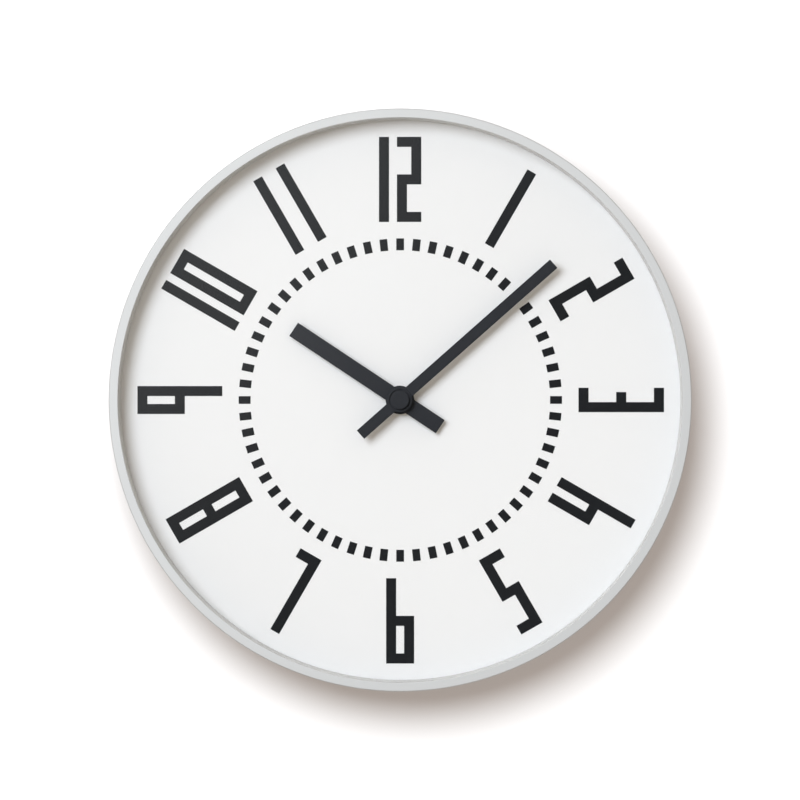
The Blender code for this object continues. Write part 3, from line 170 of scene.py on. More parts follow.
def fillet(centre, radius, start, end, steps=6):
    """Points of an arc in a profile, its angles in quarter turns from outward."""
    turns = [(start + (end - start) * i / steps) * TURN / 4 for i in range(steps + 1)]
    return [(centre[0] + radius * math.cos(t), centre[1] + radius * math.sin(t)) for t in turns]


# %% Sheet forms
def area(outline):
    pairs = zip(outline, outline[1:] + outline[:1])
    return sum(a.x * b.y - b.x * a.y for a, b in pairs) / 2


def holds(outline, point):
    """True if the outline goes round the point."""
    crossings = 0
    for a, b in zip(outline, outline[1:] + outline[:1]):
        if (a.y > point.y) != (b.y > point.y):
            crossings += point.x < a.x + (point.y - a.y) * (b.x - a.x) / (b.y - a.y)
    return crossings % 2 == 1


def moved_in(outline, distance):
    """The outline a distance further into its material, with its corners kept."""
    moved = []
    for before, here, after in zip(outline[-1:] + outline[:-1], outline, outline[1:] + outline[:1]):
        a, b = (here - before).normalized(), (after - here).normalized()
        left_a, left_b = Vector((-a.y, a.x)), Vector((-b.y, b.x))
        moved.append(here + (left_a + left_b) / (1 + left_a.dot(left_b)) * distance)
    return moved


def layer(form, outlines, low, high, edge, rounding=3):
    """Adds a flat form with rounded edges to a bmesh."""
    loops = [[Vector(point) for point in outline] for outline in outlines]
    for i, loop in enumerate(loops):
        is_hole = sum(holds(other, loop[0]) for other in loops if other is not loop) % 2 == 1
        if (area(loop) > 0) == is_hole:
            loops[i] = loop[::-1]
    quarter = [TURN / 4 * i / rounding for i in range(rounding + 1)]
    steps = [(edge * (1 - math.sin(t)), low + edge * (1 - math.cos(t))) for t in quarter]
    steps += [(inset, high + low - height) for inset, height in reversed(steps)]
    rings = []
    for inset, height in steps:
        shifted = [moved_in(loop, inset) for loop in loops]
        rings.append([[form.verts.new(place(p.x, p.y, height)) for p in loop] for loop in shifted])
    for first, second in zip(rings, rings[1:]):
        for lower, upper in zip(first, second):
            for i in range(len(lower)):
                j = (i + 1) % len(lower)
                form.faces.new((lower[i], lower[j], upper[j], upper[i]))
    outer = [i for i, loop in enumerate(loops) if area(loop) > 0]
    for ring in (rings[0], rings[-1]):
        for i in outer:
            inner = [j for j in range(len(loops)) if j not in outer]
            holes = [j for j in inner if holds(loops[i], loops[j][0])]
            group = [ring[j] for j in (i, *holes)]
            corners = [vertex for loop in group for vertex in loop]
            flat = [[Vector((v.co.x, v.co.z, 0)) for v in loop] for loop in group]
            for triangle in tessellate_polygon(flat):
                form.faces.new([corners[n] for n in triangle])


def sheet(name, outlines, low, high, edge, body, stands_for=()):
    form = bmesh.new()
    layer(form, outlines, low, high, edge)
    return settle(form, name, body, stands_for)


def rectangle(left, low, right, high):
    return [(left, low), (right, low), (right, high), (left, high)]


def circle(radius, steps=48, middle=(0, 0)):
    turns = [TURN * i / steps for i in range(steps)]
    return [(middle[0] + radius * math.cos(t), middle[1] + radius * math.sin(t)) for t in turns]


def rounded(left, low, right, high, radius, steps=6):
    corners = ((right, high, -1, -1), (left, high, 1, -1), (left, low, 1, 1), (right, low, -1, 1))
    outline = []
    for quarter, (x, y, side, up) in enumerate(corners):
        centre = (x + side * radius, y + up * radius)
        outline += fillet(centre, radius, quarter, quarter + 1, steps)
    return outline


def turned_to(outline, angle, out=0.0, flipped=False):
    """Moves an outline out from the axis, then round to a clock angle."""
    turn = -angle + (math.pi if flipped else 0)
    cos, sin = math.cos(turn), math.sin(turn)
    x0, y0 = out * math.sin(angle), out * math.cos(angle)
    return [(x0 + x * cos - y * sin, y0 + x * sin + y * cos) for x, y in outline]


def carve(piece, *cutters):
    """Cuts other forms out of a piece for good."""
    piece.modifiers.clear()
    for cutter in cutters:
        step = piece.modifiers.new(cutter.name, "BOOLEAN")
        step.operation = "DIFFERENCE"
        step.solver = "EXACT"
        step.object = cutter
    graph = bpy.context.evaluated_depsgraph_get()
    result = bpy.data.meshes.new_from_object(piece.evaluated_get(graph))
    piece.modifiers.clear()
    piece.data = result
    result.set_sharp_from_angle(angle=math.radians(35))
    even_shade(piece)
    for cutter in cutters:
        bpy.data.objects.remove(cutter, do_unlink=True)
    return piece


print("lathe and sheet tools are ready")

# %% [markdown]
# ## The case ring
# On the real clock this is one spun and turned aluminium ring. A roller curls its front edge in,
# and the lathe leaves a narrow flat lip that holds the glass. The lip is what the photograph
# shows, so its two edges get their own small roundings.

# %% Case ring
WALL = 0.002
LIP_BACK = CASE_DEPTH - 0.002
EDGE_ROUND, LIP_EDGE, BACK_EDGE = 0.0005, 0.00025, 0.0003
ring_profile = fillet((LIP + LIP_EDGE, CASE_DEPTH - LIP_EDGE), LIP_EDGE, 2, 1, 4)
ring_profile += fillet((CASE_RADIUS - EDGE_ROUND, CASE_DEPTH - EDGE_ROUND), EDGE_ROUND, 1, 0, 8)
ring_profile += [(CASE_RADIUS, CASE_DEPTH * quarters / 4) for quarters in (3, 2, 1)]
ring_profile += fillet((CASE_RADIUS - BACK_EDGE, BACK_EDGE), BACK_EDGE, 0, -1, 4)
ring_profile += fillet((CASE_RADIUS - WALL + BACK_EDGE, BACK_EDGE), BACK_EDGE, -1, -2, 4)
ring_profile += [(CASE_RADIUS - WALL, LIP_BACK), (LIP, LIP_BACK)]
case_piece = spun(
    "spun_case_ring", ring_profile, RIM_STEPS, "clock_body", "satin_aluminium", ["case_ring"]
)
print("case ring:", len(case_piece.data.polygons), "faces")

# %% [markdown]
# ## Glass and reveal
# A flat pane sits behind the lip, and a white moulded ring keeps it off the dial. The pane is
# float glass with its edge ground to a slight round. The ring narrows a little towards the dial,
# because it has to come out of its mould, so it shows as a fine band just inside the lip.

# %% Glass pane and reveal ring
glass_back, glass_front = span("glass")
GROUND = 0.0004
pane_profile = [(0, glass_front)]
pane_profile += fillet((LINER - GROUND, glass_front - GROUND), GROUND, 1, 0, 4)
pane_profile += fillet((LINER - GROUND, glass_back + GROUND), GROUND, 0, -1, 4)
pane_profile += [(0, glass_back)]
pane = spun("glass_pane", pane_profile, RIM_STEPS, "clock_body", "clear_glass", ["glass"])

reveal_back, reveal_front = span("spacer_ring")
REVEAL_WALL, DRAFT = 0.0014, 0.0004
SOFT, SEAM = 0.0004, 0.0002
REVEAL = LINER - REVEAL_WALL
reveal_profile = [(LINER, reveal_front), (LINER, reveal_back)]
reveal_profile += fillet((REVEAL - DRAFT + SEAM, reveal_back + SEAM), SEAM, -1, -2, 4)
reveal_profile += fillet((REVEAL + SOFT, reveal_front - SOFT), SOFT, 2, 1, 4)
reveal = spun(
    "reveal_ring", reveal_profile, RIM_STEPS, "clock_body", "white_plastic", ["spacer_ring"]
)
reveal_depth, pane_depth = reveal_front - reveal_back, glass_front - glass_back
print(f"reveal {1000 * reveal_depth:.1f} mm deep behind {1000 * pane_depth:.1f} mm of glass")

# %% [markdown]
# ## The dial and its print
# The dial is an enamelled sheet. The figures are screen-printed in thick ink, so each figure is
# a raised film with soft edges, 0.1 mm high. Every figure is made of straight strokes of one
# width. The hours 4 to 8 stand with their tops inward, so that they read upright.

# %% Dial sheet
dial_back = span("dial_plate")[0]
RECESS = 0.016
DIAL_FACE = CASE_DEPTH - RECESS
HOLE, DIAL_EDGE = 0.0043, 0.0002
dial_profile = fillet((LINER - DIAL_EDGE, DIAL_FACE - DIAL_EDGE), DIAL_EDGE, 1, 0, 3)
dial_profile += [(LINER, dial_back), (HOLE, dial_back)]
dial_profile += fillet((HOLE + DIAL_EDGE, DIAL_FACE - DIAL_EDGE), DIAL_EDGE, 2, 1, 3)
dial = spun("dial_sheet", dial_profile, RIM_STEPS, "clock_body", "white_enamel", ["dial_plate"])
print(f"dial face {1000 * DIAL_FACE:.1f} mm from the wall")

# %% Block figures
FIGURE = 0.3056 * LIP
STROKE = 0.1178 * FIGURE
COUNTER = 0.0932 * FIGURE
NOTCH = 0.0501 * FIGURE
FIGURE_RADIUS = 0.7919 * LIP
INK = 0.0001


def digit(value):
    """Width and outlines of one figure that stands on Y = 0 and starts at X = 0."""
    h, s, n = FIGURE, STROKE, NOTCH
    low, high = (h - s) / 2, (h + s) / 2
    w = 2 * s + (n if value in (2, 3, 5, 7) else COUNTER)
    window_low, window_high = rectangle(s, s, w - s, low), rectangle(s, high, w - s, h - s)
    open_forms = {
        1: [(0, 0), (s, 0), (s, h), (0, h)],
        2: [
            (0, 0), (w, 0), (w, s), (s, s), (s, low), (w, low),
            (w, h), (0, h), (0, h - s), (w - s, h - s), (w - s, high), (0, high),
        ],
        3: [
            (0, 0), (w, 0), (w, h), (0, h), (0, h - s), (w - s, h - s),
            (w - s, high), (n, high), (n, low), (w - s, low), (w - s, s), (0, s),
        ],
        4: [
            (0, low), (w - s, low), (w - s, 0), (w, 0), (w, h),
            (w - s, h), (w - s, high), (s, high), (s, h), (0, h),
        ],
        5: [
            (0, 0), (w, 0), (w, high), (s, high), (s, h - s), (w, h - s),
            (w, h), (0, h), (0, low), (w - s, low), (w - s, s), (0, s),
        ],
        7: [(0, h - s), (w - s, h - s), (w - s, 0), (w, 0), (w, h), (0, h)],
    }
    if value in open_forms:
        return (s if value == 1 else w), [open_forms[value]]
    if value == 6:
        return w, [[(0, 0), (w, 0), (w, high), (s, high), (s, h), (0, h)], window_low]
    if value == 8:
        return w, [rectangle(0, 0, w, h), window_low, window_high]
    if value == 9:
        return w, [[(0, low), (w - s, low), (w - s, 0), (w, 0), (w, h), (0, h)], window_high]
    return w, [rectangle(0, 0, w, h), rectangle(s, s, w - s, h - s)]


def figures(hour):
    """Outlines of an hour's figures, centred on the origin."""
    gap = COUNTER * (2 if hour == 11 else 1)
    left, outlines = 0, []
    for value in map(int, str(hour)):
        width, shapes = digit(value)
        outlines += [[(x + left, y) for x, y in shape] for shape in shapes]
        left += width + gap
    return [[(x - (left - gap) / 2, y - FIGURE / 2) for x, y in shape] for shape in outlines]


printed = []
for hour in range(1, 13):
    angle = TURN * hour / 12
    flipped = 4 <= hour <= 8
    outlines = [turned_to(shape, angle, FIGURE_RADIUS, flipped) for shape in figures(hour)]
    printed.append(sheet(
        f"hour_figure_{hour:02d}", outlines, DIAL_FACE, DIAL_FACE + INK, INK / 3,
        "clock_body", ["dial_plate"],
    ))
print(f"12 figures, {1000 * FIGURE:.1f} mm tall in {1000 * STROKE:.1f} mm strokes")

# %% Minute track
MARK_LENGTH, MARK_WIDTH, TRACK_EDGE = 0.0427 * LIP, 0.0277 * LIP, 0.58 * LIP
mark = rectangle(-MARK_WIDTH / 2, -MARK_LENGTH / 2, MARK_WIDTH / 2, MARK_LENGTH / 2)
track = [turned_to(mark, TURN * i / 60, TRACK_EDGE - MARK_LENGTH / 2) for i in range(60)]
printed.append(sheet(
    "minute_track", track, DIAL_FACE, DIAL_FACE + INK, INK / 3,
    "clock_body", ["dial_plate"],
))
print(f"60 marks, {1000 * MARK_LENGTH:.1f} by {1000 * MARK_WIDTH:.1f} mm")

# %% [markdown]
# ## The hands
# Both hands are bars blanked from aluminium sheet and lacquered. Blanking leaves a crisp edge
# with a tiny roll, which catches light as a fine line. Each bar is staked on a turned hub. The
# minute hub shows as a ring round the nut that holds it, with a groove between them.

# %% Hour hand
MINUTE_ANGLE, HOUR_ANGLE = math.radians(48.5), math.radians(303.6)
HOUR_LENGTH, MINUTE_LENGTH = 0.4571 * LIP, 0.7319 * LIP
BLADE, ROLL = 0.0008, 0.00012
HOUR_HUB, HOUR_BORE, HUB_EDGE = 0.0072, 0.0026, 0.0002
hour_back = span("hour_hand")[0]


def blade(width, tail, length, angle, bore):
    bar = turned_to(rectangle(-width / 2, -tail, width / 2, length), angle)
    return [bar, circle(bore)]


form = bmesh.new()
hour_bar = blade(0.0570 * LIP, 0.1730 * LIP, HOUR_LENGTH, HOUR_ANGLE, HOUR_BORE)
layer(form, hour_bar, hour_back, hour_back + BLADE, ROLL)
hub_top = hour_back + 0.0012
hub_profile = fillet((HOUR_HUB - HUB_EDGE, hub_top - HUB_EDGE), HUB_EDGE, 1, 0, 4)
hub_profile += [(HOUR_HUB, hour_back), (HOUR_BORE, hour_back), (HOUR_BORE, hub_top)]
spin(form, hub_profile, HUB_STEPS)
hour_hand = settle(form, "hour_bar_hand", "hour_work", ["hour_hand"])

# %% Minute hand
MINUTE_HUB, HUB_ROUND, HUB_HEIGHT = 0.0062, 0.0003, 0.0017
COLLAR, MINUTE_BORE = 0.0032, 0.0016
CAP = 0.0047
GROOVE = CAP + 0.0006
collar_back, minute_top = span("minute_hand")
groove_floor = minute_top - 0.0009
minute_back = minute_top - HUB_HEIGHT
blade_back = minute_back + (HUB_HEIGHT - BLADE) / 2
form = bmesh.new()
minute_bar = blade(0.0399 * LIP, 0.1872 * LIP, MINUTE_LENGTH, MINUTE_ANGLE, MINUTE_BORE)
layer(form, minute_bar, blade_back, blade_back + BLADE, ROLL)
hub_profile = fillet((MINUTE_HUB - HUB_ROUND, minute_top - HUB_ROUND), HUB_ROUND, 1, 0, 5)
hub_profile += fillet((MINUTE_HUB - HUB_EDGE, minute_back + HUB_EDGE), HUB_EDGE, 0, -1, 4)
hub_profile += [(COLLAR, minute_back), (COLLAR, collar_back), (MINUTE_BORE, collar_back)]
hub_profile += [(MINUTE_BORE, minute_top), (CAP, minute_top), (CAP, groove_floor)]
hub_profile += [(GROOVE, groove_floor), (GROOVE, minute_top)]
spin(form, hub_profile, HUB_STEPS)
minute_hand = settle(form, "minute_bar_hand", "minute_work", ["minute_hand"])

# %% Cap over the shaft
CROWN, CHAMFER = 0.00002, 0.0003
cap_back, cap_top = span("hand_cap")
thread_end = cap_back + 0.00105
cap_profile = [(0, cap_top), (CAP * 0.6, cap_top - CROWN)]
cap_profile += fillet((CAP - HUB_EDGE, cap_top - HUB_EDGE), HUB_EDGE, 1, 0, 6)
cap_profile += [(CAP, cap_back + CHAMFER), (CAP - CHAMFER, cap_back), (MINUTE_BORE, cap_back)]
cap_profile += [(MINUTE_BORE, thread_end), (0, thread_end)]
cap = spun("cap_over_shaft", cap_profile, HUB_STEPS, "minute_work", "black_lacquer", ["hand_cap"])
print(f"hands reach {1000 * HOUR_LENGTH:.1f} and {1000 * MINUTE_LENGTH:.1f} mm")

# %% [markdown]
# ## The back cover
# The cover is moulded in one piece, with a dish that lets a hand reach the battery. A moulder
# needs a radius at every corner of the dish and round the hatch. The dish is turned, and the
# hatch, the nail pocket and the holes are cut out of it.

# %% Moulded back cover
flange_back, floor_front = span("back_cover")
COVER_WALL, COVER_EDGE = 0.002, 0.0004
FLOOR_BACK = floor_front - COVER_WALL
RIM = 0.607 * CASE_RADIUS
FLOOR = RIM - 0.008
BEND, SWEEP = 0.0018, 0.0020
SCREW_CIRCLE = LINER - 0.0057
SCREW_TURNS = [TURN * (i + 0.5) / 4 for i in range(4)]
SCREWS = [(SCREW_CIRCLE * math.cos(t), SCREW_CIRCLE * math.sin(t)) for t in SCREW_TURNS]
NAIL_Y = -AXIS_Z
flange_front, edge_centre = flange_back + COVER_WALL, LINER - COVER_EDGE
cover_profile = [(0, floor_front), (FLOOR + 0.001, floor_front)]
cover_profile += [(RIM + 0.001, flange_front), (edge_centre, flange_front)]
cover_profile += fillet((edge_centre, flange_front - COVER_EDGE), COVER_EDGE, 1, 0, 3)
cover_profile += fillet((edge_centre, flange_back + COVER_EDGE), COVER_EDGE, 0, -1, 3)
shares = [i / 6 for i in range(7)]
cover_profile += [(RIM + 0.0015 - BEND * a, flange_back + BEND * a ** 2) for a in shares]
cover_profile += [(FLOOR + 0.0003 - SWEEP * a, FLOOR_BACK - SWEEP * (1 - a) ** 2) for a in shares]
cover_profile += [(0, FLOOR_BACK)]
cover = spun(
    "moulded_back_cover", cover_profile, RIM_STEPS, "clock_body", "grey_plastic", ["back_cover"]
)


def cutter(name, outline, low, high):
    """A plain form to cut with. It has to reach OVER past the faces that it opens."""
    form = bmesh.new()
    layer(form, [outline], low, high, 0.00001, 1)
    return settle(form, name, None)


OVER = 0.001
HATCH = reach("movement_rear_cover") + 0.001
SCREW_HOLE, RIVET_HOLE = 0.0017, 0.0016
RIVETS = [(side * 0.0125, NAIL_Y - 0.005) for side in (-1, 1)]
hatch = rounded(-HATCH, -HATCH, HATCH, HATCH, 0.003)
flange_cuts = [rounded(-0.0061, NAIL_Y - 0.0151, 0.0061, NAIL_Y + 0.0039, 0.0015)]
flange_cuts += [circle(SCREW_HOLE, 32, spot) for spot in SCREWS]
flange_cuts += [circle(RIVET_HOLE, 32, spot) for spot in RIVETS]
cuts = [cutter("hatch", hatch, FLOOR_BACK - OVER, floor_front + OVER)]
for outline in flange_cuts:
    cuts.append(cutter("flange_cut", outline, flange_back - OVER, flange_front + OVER))
carve(cover, *cuts)
print("back cover:", len(cover.data.polygons), "faces after its openings are cut")

# %% Raised marks on the cover
# A frame stiffens the hatch, and a plus and a minus show which way round the cell goes in. Both
# are sunk 0.1 mm into the floor, so that they join it.


def cross(long, thick):
    """An upright cross from its arms' half-length and half-width."""
    quarter = [(thick, thick), (thick, long), (-thick, long)]
    return [point for i in range(4) for point in turned_to(quarter, -TURN / 4 * i)]


SUNK, SIGN_LONG, SIGN_THICK = 0.0001, 0.0019, 0.0004
cell_low, cell_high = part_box("battery_cell")
form = bmesh.new()
frames = [rounded(-w, -w, w, w, r) for w, r in ((HATCH + 0.0026, 0.0050), (HATCH + 0.0010, 0.0038))]
layer(form, frames, FLOOR_BACK - 0.0007, FLOOR_BACK + SUNK, 0.00025)
minus = rectangle(-SIGN_LONG, -SIGN_THICK, SIGN_LONG, SIGN_THICK)
plus = cross(SIGN_LONG, SIGN_THICK)
for shape, x in ((plus, cell_high.x - 0.006), (minus, cell_low.x + 0.006)):
    sign = [(x + px, py - HATCH - 0.0068) for px, py in shape]
    layer(form, [sign], FLOOR_BACK - 0.0004, FLOOR_BACK + SUNK, 0.00012)
settle(form, "cover_raised_marks", "clock_body")
print("hatch frame and polarity marks")

# %% [markdown]
# ## Fasteners and the keyhole plate
# The screws are thread-forming screws with crossed recesses. Their drives are cut into a domed
# head. The keyhole plate is pressed steel, so its edges are rolled on one side, and its rivets
# have full dome heads.

# %% Cross-recess screws
head_end, tip = span("back_cover_screw_1")
HEAD, SHANK, DOME, HEAD_HEIGHT = 0.0030, 0.0014, 0.0012, 0.0020
PITCH, FLANK, THREAD_DEPTH = 0.0011, 0.0004, 0.00028
DRIVE_LONG, DRIVE_THICK, DRIVE_DEPTH = 0.0015, 0.00032, 0.0011
head_front = head_end + HEAD_HEIGHT


def dome(radius, end, rise):
    """Points of a domed head, from its rim to the middle of its end."""
    turns = [TURN * i / 24 for i in range(6)]
    return [(radius * math.cos(t), end + rise * (1 - math.sin(t))) for t in turns] + [(0, end)]


level = tip - SHANK
screw_profile = [(0, tip), (SHANK / 3, tip), (SHANK, level)]
while level - PITCH > head_front + 0.0006:
    screw_profile += [(SHANK, level), (SHANK - THREAD_DEPTH, level - FLANK)]
    screw_profile += [(SHANK, level - 2 * FLANK)]
    level -= PITCH
screw_profile += [(SHANK, head_front), (HEAD, head_front)] + dome(HEAD, head_end, DOME)
for i, (x, y) in enumerate(SCREWS):
    screw = spun(
        f"cross_recess_screw_{i + 1}", screw_profile, 48, "clock_body", "zinc_steel",
        [f"back_cover_screw_{i + 1}"], middle=(x, y),
    )
    drive = turned_to(cross(DRIVE_LONG, DRIVE_THICK), 0.4 + 0.9 * i)
    drive = [(x + px, y + py) for px, py in drive]
    carve(screw, cutter("drive", drive, head_end - OVER, head_end + DRIVE_DEPTH))
print("4 screws,", len(screw.data.polygons), "faces each")

# %% Keyhole plate and its rivets
plate_back, plate_front = span("hanger_plate")
HEAD_HOLE, SLOT_HOLE, DROP = 0.0046, 0.0024, 0.009
PLATE_HALF, PLATE_HEIGHT = 0.017, 0.028
RIVET_HEAD, RIVET_SHANK, RIVET_DOME = 0.0023, 0.0013, 0.0009
neck = math.asin(SLOT_HOLE / HEAD_HOLE) * 4 / TURN
keyhole = fillet((0, NAIL_Y - DROP), HEAD_HOLE, 1 + neck, 5 - neck, 40)
keyhole += fillet((0, NAIL_Y), SLOT_HOLE, 0, 2, 20)
plate_top = NAIL_Y + 0.009
outline = rounded(-PLATE_HALF, plate_top - PLATE_HEIGHT, PLATE_HALF, plate_top, 0.003, 10)
plate = [outline, keyhole] + [circle(RIVET_HOLE, 32, spot) for spot in RIVETS]
hanger = sheet(
    "pressed_keyhole_plate", plate, plate_back, plate_front, 0.0003,
    "clock_body", ["hanger_plate"],
)
rivet_back, rivet_front = span("hanger_rivet_left")
tail_end = rivet_front - RIVET_DOME
rivet_profile = [(0, rivet_front), (RIVET_HEAD - 0.0002, rivet_front)]
rivet_profile += [(RIVET_HEAD, rivet_front - 0.0002), (RIVET_HEAD, tail_end)]
rivet_profile += [(RIVET_SHANK, tail_end), (RIVET_SHANK, rivet_back + RIVET_DOME)]
rivet_profile += dome(RIVET_HEAD, rivet_back, RIVET_DOME)
for side, spot in zip(("left", "right"), RIVETS):
    spun(
        f"domed_rivet_{side}", rivet_profile, 48, "clock_body", "zinc_steel",
        [f"hanger_rivet_{side}"], middle=spot,
    )
print(f"keyhole plate {1000 * (plate_front - plate_back):.1f} mm thick")

# %% [markdown]
# ## Knob and battery
# The setting knob is turned by a fingertip, so its rim is scalloped and its edges are rounded.
# The cell has a jacket that is shrunk over its can, with a crimp at each end and a pressed button.

# %% Setting knob
knob_low, knob_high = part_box("setting_knob")
KNOB_X = (knob_low.x + knob_high.x) / 2
KNOB_Y = (knob_low.z + knob_high.z) / 2 - AXIS_Z
knob_back, knob_front = span("setting_knob")
GRIP, SCALLOP, SCALLOPS, SHAFT = 0.0055, 0.0004, 14, 0.0012
KNOB_TEETH, PITCH_RADIUS, MODULE, KNOB_PHASE = 15, 0.003, 0.0004, math.radians(338)


def on_knob(radius, turn):
    """A point round the knob's own axis."""
    return KNOB_X + radius * math.cos(turn), KNOB_Y + radius * math.sin(turn)


scallops = []
for i in range(8 * SCALLOPS):
    t = TURN * i / (8 * SCALLOPS)
    scallops.append(on_knob(GRIP - SCALLOP * max(0.0, -math.cos(SCALLOPS * t)) ** 2, t))
form = bmesh.new()
layer(form, [scallops], knob_back, knob_back + 0.0022, 0.0004, 4)
shaft_end = knob_back + 0.001
shaft = [(0, knob_front), (SHAFT, knob_front), (SHAFT, shaft_end), (0, shaft_end)]
spin(form, shaft, 32, (KNOB_X, KNOB_Y))
tooth = ((-0.24, -1.1), (-0.10, 0.8), (0.10, 0.8), (0.24, -1.1))
teeth = [
    on_knob(PITCH_RADIUS + out * MODULE, TURN * (i + share) / KNOB_TEETH + KNOB_PHASE)
    for i in range(KNOB_TEETH) for share, out in tooth
]
gear_back = span("motion_wheel")[0]
layer(form, [teeth], gear_back, gear_back + 0.0008, 0.00005, 1)
knob = settle(form, "scalloped_knob", "knob", ["setting_knob"])

# %% Battery cell
CELL = max(cell_high.z - cell_low.z, cell_high.y - cell_low.y) / 2
CELL_Y = (cell_high.z + cell_low.z) / 2 - AXIS_Z
CELL_HEIGHT = -(cell_high.y + cell_low.y) / 2
BUTTON, CRIMP, SINK, JACKET_EDGE = 0.0027, 0.0055, 0.0003, 0.0005
left, button = cell_low.x, cell_high.x
shoulder = button - 0.0011
cell_profile = [(0, button), (BUTTON - SINK, button), (BUTTON, button - SINK)]
cell_profile += [(BUTTON, shoulder), (CRIMP - SINK, shoulder), (CRIMP, shoulder - SINK)]
cell_profile += [(CRIMP + SINK, shoulder - SINK)]
cell_profile += fillet((CELL - JACKET_EDGE, shoulder - JACKET_EDGE), JACKET_EDGE, 1, 0, 5)
cell_profile += [(CELL, left + (shoulder - left) / 2)]
cell_profile += fillet((CELL - JACKET_EDGE, left + JACKET_EDGE), JACKET_EDGE, 0, -1, 5)
cell_profile += [(CRIMP + SINK, left + SINK), (CRIMP, left + SINK), (0.0050, left), (0, left)]
cell = spun(
    "jacketed_cell", cell_profile, 64, "battery", "cell_jacket", ["battery_cell"],
    middle=(CELL_Y, CELL_HEIGHT), across=True,
)
print(f"cell {2000 * CELL:.1f} by {1000 * (button - left):.1f} mm")

# %% [markdown]
# ## A small language for finishes
# A finish is a formula over the surface: a grain here, a turning line there. `Signal` wraps one
# socket so that such a formula reads like arithmetic. `Paint` holds one node tree. Its `node`
# makes any node, and its other methods name the few that the finishes share. `coat` puts a
# finish's colour, roughness and relief on its shader.


# %% Signals and paints
class Signal:
    """One socket that reads like a number: 1 - mask, or grain * 0.3 + 0.4."""

    def __init__(self, paint, socket):
        self.paint = paint
        self.socket = socket

    def meet(self, operation, first, second):
        kinds = [value.socket.type for value in (first, second) if isinstance(value, Signal)]
        flat = all(kind == "VALUE" for kind in kinds)
        node = self.paint.tree.nodes.new("ShaderNodeMath" if flat else "ShaderNodeVectorMath")
        node.operation = operation
        for socket, value in zip(node.inputs, (first, second)):
            self.paint.feed(socket, value)
        return Signal(self.paint, node.outputs[0])

    def __add__(self, other):
        return self.meet("ADD", self, other)

    def __sub__(self, other):
        return self.meet("SUBTRACT", self, other)

    def __mul__(self, other):
        return self.meet("MULTIPLY", self, other)

    def __truediv__(self, other):
        return self.meet("DIVIDE", self, other)

    def __pow__(self, other):
        return self.meet("POWER", self, other)

    def __radd__(self, other):
        return self.meet("ADD", other, self)

    def __rsub__(self, other):
        return self.meet("SUBTRACT", other, self)

    def __rmul__(self, other):
        return self.meet("MULTIPLY", other, self)

    def __rtruediv__(self, other):
        return self.meet("DIVIDE", other, self)


class Paint:
    """The node tree of one finish, lamp or world."""

    def __init__(self, owner):
        owner.use_nodes = True
        self.tree = owner.node_tree

    def feed(self, socket, value):
        if isinstance(value, Signal):
            self.tree.links.new(value.socket, socket)
        elif socket.type == "RGBA":
            socket.default_value = (*value, 1)
        elif socket.type == "VECTOR" and not isinstance(value, tuple):
            socket.default_value = (value, value, value)
        else:
            socket.default_value = value

    def node(self, kind, settings=None, values=None, output=0):
        """Any node: its type, its settings, its socket values or links, and the output to read."""
        node = self.tree.nodes.new(kind)
        for name, setting in (settings or {}).items():
            setattr(node, name, setting)
        sockets = {socket.identifier: socket for socket in node.inputs}
        for name, value in (values or {}).items():
            self.feed(sockets[name], value)
        return Signal(self, node.outputs[output])

    def mix(self, share, first, second):
        """A colour between two, by a share from 0 to 1."""
        values = {"Factor_Float": share, "A_Color": first, "B_Color": second}
        return self.node("ShaderNodeMix", {"data_type": "RGBA"}, values, output=2)

    def bump(self, height, distance, below=None):
        values = {"Height": height, "Distance": distance}
        if below:
            values["Normal"] = below
        return self.node("ShaderNodeBump", None, values)

    def step(self, value, low, high):
        """0 below low, 1 above high, and smooth between."""
        values = {"Value": value, "From Min": low, "From Max": high}
        return self.node("ShaderNodeMapRange", {"interpolation_type": "SMOOTHSTEP"}, values)

    def wave(self, value):
        return self.node("ShaderNodeMath", {"operation": "SINE"}, {"Value": value})

    def blend(self, share, first, second):
        """Shows two shaders on the surface, mixed by a share."""
        values = {"Fac": share, "Shader": first, "Shader_001": second}
        mixed = self.node("ShaderNodeMixShader", None, values)
        self.feed(self.tree.nodes["Material Output"].inputs["Surface"], mixed)

    def spot(self):
        """Place on the piece, which rides along with it."""
        return self.node("ShaderNodeTexCoord", output="Object")

    def parts(self, vector):
        node = self.node("ShaderNodeSeparateXYZ", None, {"Vector": vector}).socket.node
        return [Signal(self, socket) for socket in node.outputs]

    def point(self, x, y, z):
        return self.node("ShaderNodeCombineXYZ", None, {"X": x, "Y": y, "Z": z})

    def noise(self, where, scale, detail=2, roughness=0.5):
        """Cloudy values round 0.5."""
        values = {"Vector": where, "Scale": scale, "Detail": detail, "Roughness": roughness}
        return self.node("ShaderNodeTexNoise", None, values)

    def polar(self):
        """Radius from the clock's axis, height from the wall, and angle round the axis."""
        x, y, z = self.parts(self.spot())
        up = z - AXIS_Z
        radius = (x * x + up * up) ** 0.5
        angle = self.node("ShaderNodeMath", {"operation": "ARCTAN2"}, {"Value": x, "Value_001": up})
        return radius, 0 - y, angle


def finish(name, **constants):
    """A new material, its Paint and its shader with the plain numbers set on it."""
    material = bpy.data.materials.new(name)
    paint = Paint(material)
    shader = paint.tree.nodes["Principled BSDF"]
    for key, value in constants.items():
        paint.feed(shader.inputs[key.replace("_", " ").title().replace("Ior", "IOR")], value)
    return material, paint, shader


def coat(paint, shader, colour, roughness, relief):
    for name, value in (("Base Color", colour), ("Roughness", roughness), ("Normal", relief)):
        paint.feed(shader.inputs[name], value)


def dress(material, *pieces):
    for piece in pieces:
        if not piece.material_slots:
            piece.data.materials.append(None)
        for slot in piece.material_slots:
            slot.link = "OBJECT"
            slot.material = material


print("finishes can be written as formulas")

